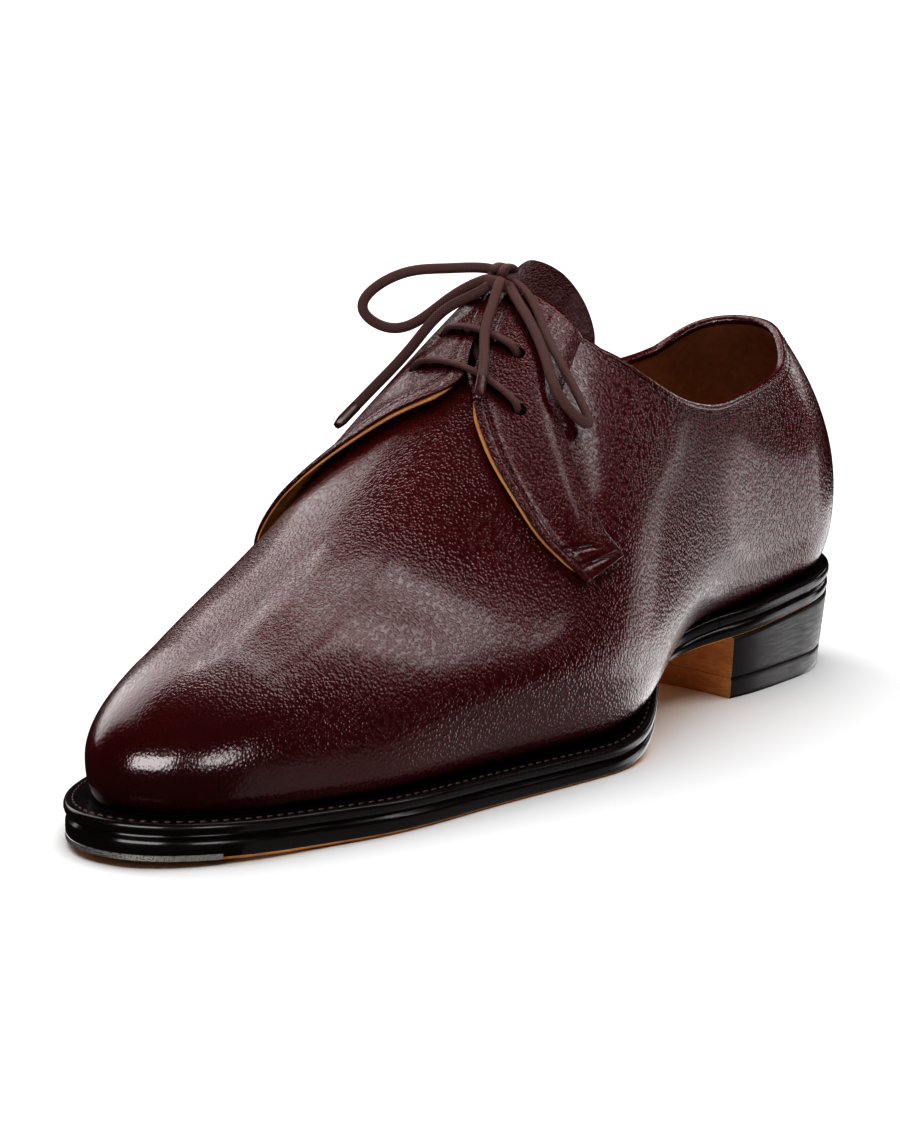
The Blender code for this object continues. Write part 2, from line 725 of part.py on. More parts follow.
def heel():
    """Stacked lifts, the top piece under them and the rubber tip at its back."""
    block("heel_stack", heel_rings(lambda s: TOP_PIECE + GAP, lambda s: tread_z(s) - GAP), (0.020, 0.014, 0.012))
    lower = heel_rings(lambda s: 0.0, lambda s: TOP_PIECE)
    top_piece = block("heel_top_piece", lower, (0.020, 0.014, 0.012))
    cut(top_piece, slab("top_piece_back", -20.0, TIP_STATION + GAP))
    tip = block("heel_rubber_tip", lower, (0.006, 0.006, 0.006), 0.7)
    cut(tip, slab("tip_front", TIP_STATION, BREAST + 20.0))


def smooth_route(points, spacing):
    """Evenly spaced points on a smooth curve through route points."""
    points = np.array(points, float)
    runs = np.linalg.norm(np.diff(points, axis=0), axis=1)
    at = np.concatenate([[0.0], np.cumsum(runs)])
    axes = [spline(at, points[:, k]) for k in range(3)]
    count = max(2, int(round(at[-1] / spacing)))
    return [tuple(axis(at[-1] * k / count) for axis in axes) for k in range(count + 1)]


def cord(name, route, spacing):
    """Lace run of round section along a route."""
    curve = bpy.data.curves.new(name, "CURVE")
    curve.dimensions = "3D"
    curve.bevel_depth = LACE / 2 * MM
    curve.bevel_resolution = 2
    curve.use_fill_caps = True
    points = smooth_route(route, spacing)
    run = curve.splines.new("POLY")
    run.points.add(len(points) - 1)
    for place, (x, station, z) in zip(run.points, points):
        place.co = (x * MM, -station * MM, z * MM, 1.0)
    return finish(bpy.data.objects.new(name, curve), (0.045, 0.022, 0.018), 0.6)


def lace_bar(name, number):
    """Lace laid over the throat, its ends bent down into a pair of holes."""
    over = GAP + FACING + GAP + LACE / 2
    (station, out_girth), (_, in_girth) = EYELETS[OUT][number], EYELETS[IN][number]
    route = [at_girth(OUT, station, out_girth, height) for height in (LACE_DIP, over * 0.7)]
    for length in np.linspace(out_girth - LACE, LACE - in_girth, 6):
        route.append(at_girth(OUT, station, length, over + GAP))
    route += [at_girth(IN, station, in_girth, height) for height in (over * 0.7, LACE_DIP)]
    return cord(name, route, BAR_SPACING)


def bow():
    """Knot, two loops and two ends of the lace over the top of the throat."""
    x, station, z = KNOT_CENTRE
    winding = []
    for k in range(int(8 * KNOT_TURNS) + 1):
        turn = k / 8
        angle = 2 * math.pi * turn
        winding.append((x + KNOT_PITCH * (turn - KNOT_TURNS / 2), station + KNOT_RADIUS * math.cos(angle),
                        z + KNOT_RADIUS * math.sin(angle)))
    cord("lace_knot", winding, KNOT_SPACING)
    for name, route in BOW_ROUTES.items():
        cord(name, route, BOW_SPACING)


def centre(things):
    """Hangs every object on an empty that puts the shoe's box over the origin."""
    corners = []
    for thing in things:
        corners += [thing.matrix_world @ vertex.co for vertex in thing.data.vertices]
    low = [min(c[k] for c in corners) for k in range(3)]
    high = [max(c[k] for c in corners) for k in range(3)]
    stand = bpy.data.objects.new("shoe", None)
    stand.location = (-(low[0] + high[0]) / 2, -(low[1] + high[1]) / 2, 0.0)
    bpy.context.collection.objects.link(stand)
    for thing in bpy.data.objects:
        if thing is not stand:
            thing.parent = stand


def main():
    """Builds the whole shoe."""
    for thing in list(bpy.data.objects):
        bpy.data.objects.remove(thing, do_unlink=True)
    outsole()
    toe_tap("toe_plate", 0.0, 0.0)
    welt()
    heel_rand()
    heel()
    insole()
    body = upper()
    tongue()
    for side in (OUT, IN):
        piece = facing(side)
        punch(piece, side, EYELET)
        punch(body, side, EYELET)
    lace_bar("lace_bar_lower", 2)
    lace_bar("lace_bar_upper", 1)
    bow()
    centre([thing for thing in bpy.data.objects if thing.type == "MESH" and not thing.hide_render])


main()
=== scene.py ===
"""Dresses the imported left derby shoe: grained upper, facings, tongue, welted sole, heel, laces and a plain stage.

Lengths in the tables are millimetres in the last's own frame: x to the outer side, station from the back of the
heel to the toe, z up. world() turns them into metres of the row's frame.
"""
import math

import bmesh
import bpy
import numpy as np
from bpy.props import FloatProperty, FloatVectorProperty, PointerProperty
from mathutils import Matrix, Quaternion, Vector

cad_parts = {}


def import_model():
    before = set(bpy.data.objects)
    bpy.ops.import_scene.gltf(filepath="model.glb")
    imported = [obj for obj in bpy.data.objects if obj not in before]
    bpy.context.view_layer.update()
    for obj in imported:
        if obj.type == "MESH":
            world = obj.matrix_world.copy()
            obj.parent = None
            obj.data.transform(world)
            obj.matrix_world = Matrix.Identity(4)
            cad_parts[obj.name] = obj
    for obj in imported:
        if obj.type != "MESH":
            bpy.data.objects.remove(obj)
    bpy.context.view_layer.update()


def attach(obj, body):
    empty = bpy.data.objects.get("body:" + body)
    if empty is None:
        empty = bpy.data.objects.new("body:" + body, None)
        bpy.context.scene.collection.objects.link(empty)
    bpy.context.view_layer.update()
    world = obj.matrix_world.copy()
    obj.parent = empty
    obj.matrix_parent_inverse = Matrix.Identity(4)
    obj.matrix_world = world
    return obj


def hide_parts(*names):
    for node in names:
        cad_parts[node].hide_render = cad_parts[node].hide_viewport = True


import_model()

bl_info = {
    "name": "Derby Shoe",
    "version": (1, 0, 0),
    "blender": (4, 5, 0),
    "location": "View3D > Sidebar > Shoe",
    "description": "Builds a left derby shoe piece by piece around its packed frame",
    "category": "Add Mesh",
}

MM = 0.001
OUT, IN = 1, -1

# Thicknesses and clearances, as in the solids
GAP = 0.3
MARGIN = 3.0
WELT = 3.0
SOLE_WAIST = 4.6
SOLE_TOE = 7.0
SOLE_STEP = 0.5
INSOLE_RISE = 2.6
TONGUE_GAP = 0.5
UNDERCUT = 2.0

# Tread line and heel
BALL_BACK = 156.0
BALL_FRONT = 209.0
TOE_SPRING = 2.0
BREAST = 68.0
SEAT_Z = 18.0
SEAT_SLOPE = 0.07
WAIST_FRONT = 150.0
WAIST_ROUND = 2.6
TOP_PIECE = 6.0
HEEL_TAPER = 1.2
HEEL_PITCH = 4.0
TIP_STATION = 18.0
RAND_FRONT = 74.0
BREAST_HOLLOW = 3.0
PLATE_REACH = 0.62
PLATE_DEPTH = 13.0
PLATE_THICK = 2.0

# Fineness of the meshes, and distances in metres under which points and edges fall together
ROUTE_STEPS = 400
TUBE_SIDES = 14
HOLE_SIDES = 20
WELD = 0.00001
SLIVER = 0.000002

# Tubes: sizes of the rings at their ends, first step at an end, squareness of the section
TUBE_ENDS = (0.0, 0.62, 0.9)
TUBE_END_STEP = 0.25
TUBE_SQUARE = 0.75

# Stitches: length, width and height of a thread, and how far along the seam its direction is read
SEAM_THREAD = (1.35, 0.45, 0.36)
WELT_THREAD = (2.2, 0.75, 0.6)
STITCH_REACH = 0.3

STITCH_LIFT = 0.05

# Small overlaps and clearances of the dressed pieces
WELT_CLEAR = 0.1
SEAT_CLEAR = 0.05
LIFT_CLEAR = 0.1
TIP_CLEAR = 0.15
TAP_PROUD = 0.1

HOLE_DEPTH = 14.0
BAND_UV = 20.0
UP = (0.0, 0.0, 1.0)

# Plan ends of the outlines and where their rounds begin
TOE_CENTRE = 263.0
HEEL_CENTRE = 34.0
TOE_TIP = {"feather": 297.5, "belly": 298.5, "edge": 305.0}
HEEL_END = {"feather": 3.0, "belly": -1.5, "edge": 0.0}
TOE_ROUND = 2.28
HEEL_ROUND = 2.1

# One row for each cross-section of the last
SECTION_COLUMNS = ("station", "feather_out", "feather_in", "edge_out", "edge_in", "belly_out", "belly_in",
                   "belly_rise", "ridge_x", "ridge_z", "lean_out", "lean_in")
SECTIONS = (
    (0, 27.5, 27.5, 3.5, 3.5, 31.5, 31.5, 22, -6.0, 122.0, 1.00, 1.00),
    (34, 27.5, 27.5, 3.5, 3.5, 32.0, 32.0, 22, -6.0, 122.0, 1.00, 1.00),
    (68, 26.5, 26.5, 3.0, 3.0, 33.0, 33.0, 22, -8.0, 132.0, 0.50, 0.50),
    (95, 24.0, 23.0, 1.5, 1.5, 37.0, 34.0, 22, -9.0, 142.0, 0.15, 0.12),
    (115, 33.0, 25.0, 2.5, 1.5, 42.0, 37.0, 21, -9.0, 132.0, 0.10, 0.05),
    (138, 42.5, 33.0, 5.5, 3.5, 47.0, 43.0, 18, -7.5, 118.0, 0.05, -0.08),
    (165, 42.0, 42.0, 6.5, 6.0, 46.0, 49.0, 15, -6.5, 100.0, 0.00, -0.12),
    (205, 36.0, 48.0, 7.0, 6.5, 40.0, 52.0, 12, -7.0, 73.0, 0.00, -0.02),
    (240, 31.0, 42.0, 7.0, 6.5, 34.0, 45.0, 10, -7.0, 57.5, -0.10, -0.05),
    (263, 23.5, 35.0, 7.0, 7.0, 26.0, 37.0, 11, -7.0, 48.5, -0.15, -0.12),
    (300, 14.0, 26.0, 7.5, 7.5, 16.0, 28.0, 10, -7.0, 40.0, -0.15, -0.15),
)

# Rim of the upper, a row for each wall line.
# Columns: feather station, then station and girth from the ridge where the line stops, outer and inner side
RIM = (
    (263.0, 263.0, 0.0, 263.0, 0.0),
    (230.0, 228.0, 0.0, 228.0, 0.0),
    (198.0, 190.0, 3.0, 190.0, -3.0),
    (172.0, 157.0, 9.3, 157.0, -9.3),
    (169.0, 155.5, 11.0, 155.5, -7.6),
    (165.0, 152.0, 12.0, 152.0, -3.0),
    (160.0, 145.0, 9.5, 145.0, -0.5),
    (156.0, 138.0, 7.5, 138.0, 1.5),
    (152.0, 131.0, 6.2, 131.0, 2.8),
    (149.0, 129.3, 6.5, 129.3, 3.2),
    (146.0, 129.6, 12.0, 129.6, 9.0),
    (142.0, 129.5, 19.0, 129.5, 14.6),
    (137.0, 127.2, 27.7, 127.5, 20.2),
    (131.0, 123.8, 35.4, 124.0, 26.0),
    (124.0, 118.0, 43.4, 118.5, 32.2),
    (117.0, 113.4, 50.6, 113.4, 37.8),
)
RIM_STEPS = (12, 12, 10, 3, 3, 5, 5, 5, 2, 4, 5, 5, 5, 5, 5)

# Height of the collar behind the rim's last row
COLLAR_COLUMNS = ("station", "top_out", "top_in")
COLLAR = (
    (-1.5, 99.5, 99.5),
    (15, 96.5, 96.5),
    (30, 90.5, 92.0),
    (45, 87.2, 89.5),
    (60, 86.3, 89.0),
    (75, 86.5, 90.0),
    (88, 89.0, 92.5),
    (102, 94.2, 97.0),
    (113.4, 101.5, 103.0),
)

# Facings, a row across the strip from the collar to its squared end.
# Columns: station and girth of the front edge, station and girth of the rear edge
FACING_ROWS = {
    OUT: (
        (128.8, 3.2, 126.6, 29.0),
        (136.0, 3.6, 138.0, 32.0),
        (143.0, 5.2, 145.5, 35.0),
        (152.0, 8.0, 148.5, 39.0),
        (159.5, 11.2, 150.0, 45.0),
        (166.3, 18.0, 150.4, 51.0),
        (171.0, 27.0, 150.3, 57.0),
        (172.4, 35.0, 150.0, 62.0),
        (172.0, 43.0, 149.2, 67.0),
        (169.8, 53.5, 147.8, 72.0),
        (165.2, 64.6, 146.0, 77.0),
        (160.5, 75.0, 144.5, 80.5),
    ),
    IN: (
        (128.8, 0.3, 126.8, 27.0),
        (136.0, -0.2, 138.0, 30.0),
        (143.0, -2.2, 146.0, 33.0),
        (152.0, -5.2, 152.0, 37.0),
        (159.5, -8.2, 157.0, 42.0),
        (167.0, -4.0, 161.0, 47.0),
        (174.0, 4.0, 164.0, 52.0),
        (181.0, 12.0, 166.0, 57.0),
        (187.0, 22.0, 167.0, 62.0),
        (190.5, 33.0, 168.0, 66.0),
        (191.0, 45.0, 168.6, 69.0),
        (187.0, 56.0, 169.0, 72.0),
    ),
}

# Soft swells and hollows of the vamp.
# Columns: side, station, height over the feather, amount, reach along the shoe, reach up the wall
RELIEF = (
    (OUT, 182.0, 25.0, 2.5, 42.0, 12.0),
    (OUT, 197.0, 54.0, -5.2, 30.0, 15.0),
)

# Lace holes from the collar down. Columns: station, girth
EYELETS = {
    OUT: ((134.0, 12.5), (145.6, 16.9), (157.1, 26.5)),
    IN: ((134.0, 8.5), (145.6, 7.5), (157.1, 9.5)),
}

# Tongue edges. Columns: station, girth from the ridge on the outer side and on the inner side
TONGUE_ROWS = (
    (172.0, 20.0, 0.0),
    (157.0, 29.0, 11.0),
    (145.0, 30.0, 21.0),
    (132.0, 33.0, 29.0),
    (123.0, 34.0, 30.0),
    (118.5, 29.0, 26.0),
    (116.2, 21.0, 19.0),
    (115.2, 12.0, 10.0),
)

# Bow: the knot is a short winding, the other runs go through route points of x, station and z
KNOT_CENTRE = (-7.0, 130.0, 128.3)
KNOT_RADIUS = 2.0
KNOT_PITCH = 3.0
KNOT_TURNS = 1.5
KNOT_POINTS = 40
# Offsets from the knot's centre: run through it, run under it, way of the top bar past it
KNOT_CORE = ((-4.6, 1.2, -0.6), (0.0, 0.0, 0.0), (4.6, 1.6, -1.4))
KNOT_UNDER = ((-5.2, 3.4, -2.4), (0.0, 4.2, -1.9), (5.4, 3.6, -3.4))
KNOT_PASS = ((3.0, 1.6, -2.0), (-3.0, 1.6, -2.0))
BOW_ROUTES = {
    "lace_loop_inner": (
        (-11.9, 129.4, 128.9), (-22.4, 135.6, 128.9), (-33.5, 145.8, 126.7), (-38.6, 152.9, 118.4),
        (-31.5, 151.0, 113.6), (-19.0, 140.9, 120.9), (-11.9, 134.6, 126.2),
    ),
    "lace_loop_outer": (
        (-0.8, 134.6, 124.6), (6.6, 138.4, 119.6), (18.1, 144.8, 109.2), (28.3, 148.2, 97.6),
        (32.4, 145.4, 93.4), (25.6, 143.0, 103.2), (13.6, 138.9, 115.6), (0.3, 131.9, 125.7),
    ),
    "lace_end_inner": (
        (-9.5, 136.0, 124.6), (-16.2, 143.7, 119.6), (-22.3, 151.7, 109.5), (-28.8, 160.1, 98.8),
        (-35.7, 169.0, 87.9),
    ),
    "lace_end_middle": (
        (-4.0, 136.5, 126.4), (-1.3, 142.9, 122.2), (2.2, 151.1, 116.3), (6.9, 157.7, 110.6),
        (12.5, 168.1, 101.4),
    ),
}

# Spacing of a lace's points, share of the way from the knot's middle where a bow's run starts, directions that the
# flat side of bow and bars faces, points of a dipped tip
LACE_STEP = 0.8
BOW_STEP = 0.9
TUCK = 0.4
BOW_FLAT = (0.58, 0.77, 0.26)
BAR_FLAT = (1.0, 0.0, 0.3)
TIP_POINTS = 13

# Ends of the bars. Columns: girth in from the hole, height over the skin
BAR_ENDS = ((0.0, -1.6), (0.3, 1.2), (1.6, 2.8))
TOP_BAR_ENDS = ((0.0, -1.6), (0.4, 1.4), (2.6, 3.2))
BAR_FIRST = 4.0
BAR_HEIGHT = 3.4
BAR_POINTS = 9

# Slanting strand on the tongue. Columns: station, girth
STRAND = ((155.0, 13.0), (152.0, 9.0), (149.0, 4.0), (146.5, 0.5))
STRAND_HEIGHT = -1.2


def spline(xs, ys):
    """Natural cubic spline through points with rising xs, for arrays."""
    xs = np.asarray(xs, float)
    ys = np.asarray(ys, float)
    count = len(xs)
    step = np.diff(xs)
    lhs = np.eye(count)
    rhs = np.zeros(count)
    for i in range(1, count - 1):
        lhs[i, i - 1:i + 2] = step[i - 1], 2 * (step[i - 1] + step[i]), step[i]
        rhs[i] = 6 * ((ys[i + 1] - ys[i]) / step[i] - (ys[i] - ys[i - 1]) / step[i - 1])
    bend = np.linalg.solve(lhs, rhs)

    def at(x):
        x = np.asarray(x, float)
        i = np.clip(np.searchsorted(xs, x) - 1, 0, count - 2)
        t = x - xs[i]
        slope = (ys[i + 1] - ys[i]) / step[i] - step[i] * (2 * bend[i] + bend[i + 1]) / 6
        return ys[i] + slope * t + bend[i] * t ** 2 / 2 + (bend[i + 1] - bend[i]) / (6 * step[i]) * t ** 3

    return at


def table(columns, rows):
    """Smooth curve through each column of a table, against its first column."""
    return {name: spline([row[0] for row in rows], [row[k] for row in rows])
            for k, name in enumerate(columns) if k}


LAST = table(SECTION_COLUMNS, SECTIONS)
TOPLINE = table(COLLAR_COLUMNS, COLLAR)


def blend(one, two, share):
    """Value at a share of the way from one to two."""
    return one + (two - one) * share


def ramp(value, start, span):
    """Rises from 0 at start to 1 over span; a negative span rises the other way."""
    return np.clip((value - start) / span, 0, 1)


def level(*values):
    """Arrays of one shape from numbers and arrays."""
    return np.broadcast_arrays(*(np.asarray(value, float) for value in values))


def tread_z(station):
    """Height of the sole's lower face: flat under the ball, rising to the toe, over the arch to the seat."""
    station = np.asarray(station, float)
    toe = TOE_SPRING * (np.maximum(station - BALL_FRONT, 0) / (TOE_TIP["edge"] - BALL_FRONT)) ** 2
    span = BALL_BACK - BREAST
    t = ramp(station, BALL_BACK, -span)
    arch = SEAT_Z * t * t * (3 - 2 * t) + SEAT_SLOPE * span * (t ** 3 - t ** 2)
    return toe + arch + SEAT_SLOPE * np.maximum(BREAST - station, 0)


def sole_top(station):
    """Height of the sole's upper face; the sole thickens from the ball to the toe."""
    t = ramp(station, BALL_BACK, TOE_TIP["edge"] - BALL_BACK)
    return tread_z(station) + SOLE_WAIST + (SOLE_TOE - SOLE_WAIST) * t


def feather_z(station):
    """Height of the line where the upper turns in over the welt."""
    return sole_top(station) + WELT + 2 * GAP


def q_of(station):
    """Place round the shoe of a side station: 0 toe tip, 1 toe centre, 2 heel centre, 3 heel back."""
    return 1 + (TOE_CENTRE - np.asarray(station, float)) / (TOE_CENTRE - HEEL_CENTRE)


def outline(layer, side, q, grow=0.0):
    """x and station of an outline at q, moved out by grow."""
    q = np.asarray(q, float)
    ahead = np.cos(np.clip(q, 0, 1) * math.pi / 2)
    behind = np.sin(np.clip(q - 2, 0, 1) * math.pi / 2)
    side_station = TOE_CENTRE + (HEEL_CENTRE - TOE_CENTRE) * (q - 1)
    toe_station = TOE_CENTRE + (TOE_TIP[layer] + grow - TOE_CENTRE) * ahead
    heel_station = HEEL_CENTRE + (HEEL_END[layer] - grow - HEEL_CENTRE) * behind
    station = np.where(q <= 1, toe_station, np.where(q <= 2, side_station, heel_station))
    toe_cap = np.maximum(1 - ahead ** TOE_ROUND, 0) ** (1 / TOE_ROUND)
    heel_cap = np.maximum(1 - behind ** HEEL_ROUND, 0) ** (1 / HEEL_ROUND)
    cap = np.where(q <= 1, toe_cap, np.where(q <= 2, 1.0, heel_cap))
    base = "feather" if layer == "edge" else layer
    outer = LAST[base + "_out"](station) + grow
    inner = LAST[base + "_in"](station) + grow
    if layer == "edge":
        outer = outer + LAST["edge_out"](station)
        inner = inner + LAST["edge_in"](station)
    return (outer - inner) / 2 + side * (outer + inner) / 2 * cap, station


def wall(side, q, step):
    """Points up the wall lines of the last: step 0 at the feather, 1 at the belly, 2 at the ridge."""
    side, q, step = level(side, q, step)
    side = np.where((q < 0) | (q > 3), -side, side)
    q = np.where(q < 0, -q, np.where(q > 3, 6 - q, q))
    foot_x, foot_s = outline("feather", side, q, -UNDERCUT)
    belly_x, belly_s = outline("belly", side, q)
    top_s = np.clip(TOE_CENTRE + (HEEL_CENTRE - TOE_CENTRE) * (q - 1), HEEL_CENTRE, TOE_CENTRE)
    top_x = LAST["ridge_x"](top_s)
    foot_z = feather_z(foot_s)
    belly_z = foot_z + LAST["belly_rise"](foot_s)
    lean_out, lean_in = LAST["lean_out"](top_s), LAST["lean_in"](top_s)
    own = np.clip(q, 0, 1) * np.where(side > 0, 1.0, -1.0)
    lean = (lean_out + lean_in) / 2 + own * (lean_out - lean_in) / 2
    low = step <= 1
    angle = np.where(low, step, step - 1) * math.pi / 2
    rise = np.sin(angle)
    fall = np.cos(angle)
    shrink = (1 - lean) * fall + lean * fall ** 2
    x = np.where(low, blend(foot_x, belly_x, rise), blend(top_x, belly_x, shrink))
    station = np.where(low, blend(foot_s, belly_s, rise), blend(top_s, belly_s, shrink))
    ridge_z = LAST["ridge_z"](np.where(q < 1, station, top_s))
    z = np.where(low, blend(foot_z, belly_z, 1 - fall), blend(belly_z, ridge_z, rise))
    fade = np.where(low, rise, fall)
    for own_side, middle, height, amount, reach, spread in RELIEF:
        swell = np.exp(-((station - middle) / reach) ** 2 - ((z - foot_z - height) / spread) ** 2)
        x = x + np.where(side == own_side, own_side * amount * fade * swell, 0.0)
    return np.stack([x, station, z], -1)


class Measure:
    """Girths of the last, kept on a fine net of wall lines."""

    def __init__(self):
        self.q = np.linspace(-0.05, 3.05, 621)
        self.share = np.linspace(0, 1, 161)
        steps = np.concatenate([np.linspace(0, 1, 13)[:-1], np.linspace(1, 2, 33)])
        self.total = {}
        self.step = {}
        for side in (OUT, IN):
            runs = np.linalg.norm(np.diff(wall(side, self.q[:, None], steps[None, :]), axis=1), axis=2)
            left = np.concatenate([np.cumsum(runs[:, ::-1], axis=1)[:, ::-1], np.zeros((len(self.q), 1))], axis=1)
            self.total[side] = left[:, 0]
            self.step[side] = np.array([np.interp(self.share * row[0], row[::-1], steps[::-1]) for row in left])

    def girth(self, side, q):
        """Length of the wall line at q from the ridge to the feather."""
        outer, inner = (np.interp(q, self.q, self.total[way]) for way in (OUT, IN))
        return np.where(np.asarray(side) > 0, outer, inner)

    def step_at(self, side, q, share):
        """Step of the wall line at q where share of its girth is left to the ridge."""
        i = np.clip((q - self.q[0]) / (self.q[1] - self.q[0]), 0, len(self.q) - 1.001)
        j = np.clip(share * (len(self.share) - 1), 0, len(self.share) - 1.001)
        i0, j0 = i.astype(int), j.astype(int)
        a, b = i - i0, j - j0
        found = []
        for net in (self.step[OUT], self.step[IN]):
            found.append((net[i0, j0] * (1 - b) + net[i0, j0 + 1] * b) * (1 - a)
                         + (net[i0 + 1, j0] * (1 - b) + net[i0 + 1, j0 + 1] * b) * a)
        return np.where(side > 0, found[0], found[1])


MEASURE = Measure()


def skin(side, q, share):
    """Points of the last where share of the girth is left to the ridge; below 0 over the ridge, above 1 turned in."""
    side, q, share = level(side, q, share)
    over = share < 0
    share = np.where(over, -share * MEASURE.girth(side, q) / MEASURE.girth(-side, q), share)
    side = np.where(over, -side, side)
    points = wall(side, q, MEASURE.step_at(side, q, np.clip(share, 0, 1)))
    turned = share > 1
    if turned.any():
        foot = np.stack(outline("feather", side, q, -UNDERCUT), -1)
        inner = np.stack(outline("feather", side, q, -MARGIN), -1)
        place = foot + (inner - foot) * (share - 1)[..., None]
        flat = np.concatenate([place, feather_z(foot[..., 1])[..., None]], -1)
        points = np.where(turned[..., None], flat, points)
    return points


def outward(side, q, share):
    """Unit normals of the last at points of its skin."""
    near = 0.004
    side, q, share = level(side, q, share)
    along = skin(side, q + near, share) - skin(side, q - near, share)
    up = skin(side, q, share - near) - skin(side, q, np.minimum(share + near, 1.0))
    normal = np.cross(up, along) * side[..., None]
    rise = LAST["ridge_z"](TOE_CENTRE + 0.5) - LAST["ridge_z"](TOE_CENTRE - 0.5)
    pole = ((q <= 1) & (share < 0.03))[..., None]
    normal = np.where(pole, np.array([0.0, -rise, 1.0]), normal)
    normal = np.where((share >= 1)[..., None], np.array([0.0, 0.0, -1.0]), normal)
    return unit(normal)


def lifted(side, q, share, height):
    """Points that stand height above the last's skin."""
    return skin(side, q, share) + outward(side, q, share) * np.asarray(height, float)[..., None]


def at_girth(side, station, length, height):
    """Points height above the skin at stations and girths from the ridge."""
    q = q_of(station)
    return lifted(side, q, length / MEASURE.girth(side, q), height)


def up_at(side, station, length):
    """Normals of the skin at stations and girths from the ridge."""
    q = q_of(station)
    return outward(side, q, length / MEASURE.girth(side, q))


def origin():
    """x and station of the row's origin in the last's frame."""
    q = np.linspace(0, 3, 1201)
    outer = outline("edge", OUT, q)[0].max()
    inner = outline("edge", IN, q)[0].min()
    return (outer + inner) / 2, (TOE_TIP["edge"] + HEEL_END["belly"]) / 2


ORIGIN_X, ORIGIN_S = origin()


def world(points):
    """Metres in the row's frame from millimetres in the last's frame."""
    points = np.asarray(points, float)
    return np.stack([points[..., 0] - ORIGIN_X, ORIGIN_S - points[..., 1], points[..., 2]], -1) * MM


def world_way(ways):
    """Directions in the row's frame from directions in the last's frame."""
    return np.asarray(ways, float) * np.array([1.0, -1.0, 1.0])


def unit(rows):
    """Rows of vectors at length 1."""
    return rows / np.linalg.norm(rows, axis=-1, keepdims=True)


def lengths(path):
    """Length of a path up to each of its points."""
    return np.concatenate([[0.0], np.cumsum(np.linalg.norm(np.diff(path, axis=0), axis=1))])


def sample(rows, at, want):
    """Rows read off at wanted lengths."""
    return np.stack([np.interp(want, at, rows[:, k]) for k in range(3)], -1)


def along_route(route, spacing):
    """Evenly spaced points on a smooth curve through route points."""
    route = np.array(route, float)
    at = lengths(route)
    fine = np.linspace(0, at[-1], ROUTE_STEPS)
    curve = np.stack([spline(at, route[:, k])(fine) for k in range(3)], -1)
    return even(curve, spacing)


def even(curve, spacing):
    """A polyline again with points about spacing apart."""
    at = lengths(curve)
    return sample(curve, at, np.linspace(0, at[-1], max(2, int(round(at[-1] / spacing)) + 1)))


def grid(columns, rows, place, uv_size=(1.0, 1.0)):
    """A bmesh grid whose points are put by place(u, v), with u and v from 0 to 1 and a UV map of uv_size."""
    bm = bmesh.new()
    layer = bm.loops.layers.uv.new("UVMap")
    bmesh.ops.create_grid(bm, x_segments=columns, y_segments=rows, size=0.5, calc_uvs=True)
    flat = np.array([vert.co[:2] for vert in bm.verts]) + 0.5
    for vert, spot in zip(bm.verts, world(place(flat[:, 0], flat[:, 1]))):
        vert.co = spot
    for face in bm.faces:
        for loop in face.loops:
            u, v = loop[layer].uv
            loop[layer].uv = (u * uv_size[0], v * uv_size[1])
    return bm


def nth(place, steps):
    """Numbers of the grid lines at places from 0 to 1."""
    return np.rint(place * steps).astype(int)


def merge(bm, closed=True):
    """Joins seams and poles and, on a closed body, turns its faces out."""
    bmesh.ops.remove_doubles(bm, verts=bm.verts, dist=WELD)
    bmesh.ops.dissolve_degenerate(bm, edges=bm.edges, dist=SLIVER)
    if closed:
        bmesh.ops.recalc_face_normals(bm, faces=bm.faces)


def made(bm, name):
    """An object from a bmesh."""
    mesh = bpy.data.meshes.new(name)
    bm.to_mesh(mesh)
    bm.free()
    thing = bpy.data.objects.new(name, mesh)
    bpy.context.collection.objects.link(thing)
    return thing


def piece(bm, name, materials, nodes=(), sharp=None):
    """Turns a bmesh into a finished piece that rides on the shoe."""
    thing = made(bm, name)
    thing.data.shade_smooth()
    if sharp is not None:
        thing.data.set_sharp_from_angle(angle=math.radians(sharp))
    for material in materials:
        thing.data.materials.append(material)
    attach(thing, "root")
    if nodes:
        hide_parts(*nodes)
    return thing


def thicken(thing, thickness, lining=0):
    """Gives a sheet its wall, below its outer face."""
    solid = thing.modifiers.new("wall", "SOLIDIFY")
    solid.thickness = thickness * MM
    solid.offset = -1.0
    solid.use_even_offset = False
    solid.material_offset = lining


def bake(thing):
    """Applies a piece's modifiers to its mesh."""
    graph = bpy.context.evaluated_depsgraph_get()
    old = thing.data
    new = bpy.data.meshes.new_from_object(thing.evaluated_get(graph))
    new.name = thing.name
    thing.modifiers.clear()
    thing.data = new
    bpy.data.meshes.remove(old)


def drill(thing, side, radius):
    """Cuts the lace holes of one side through a piece."""
    bm = bmesh.new()
    for station, length in EYELETS[side]:
        middle = Vector(world(at_girth(side, station, length, 0.0)))
        axis = Vector(world_way(up_at(side, station, length)))
        turn = axis.to_track_quat("Z", "Y").to_matrix().to_4x4()
        bmesh.ops.create_cone(bm, cap_ends=True, segments=HOLE_SIDES, radius1=radius * MM, radius2=radius * MM,
                              depth=HOLE_DEPTH * MM, matrix=Matrix.Translation(middle) @ turn)
    cutter = made(bm, "holes")
    mesh = cutter.data
    cut = thing.modifiers.new("holes", "BOOLEAN")
    cut.operation = "DIFFERENCE"
    cut.solver = "EXACT"
    cut.object = cutter
    bake(thing)
    bpy.data.objects.remove(cutter, do_unlink=True)
    bpy.data.meshes.remove(mesh)


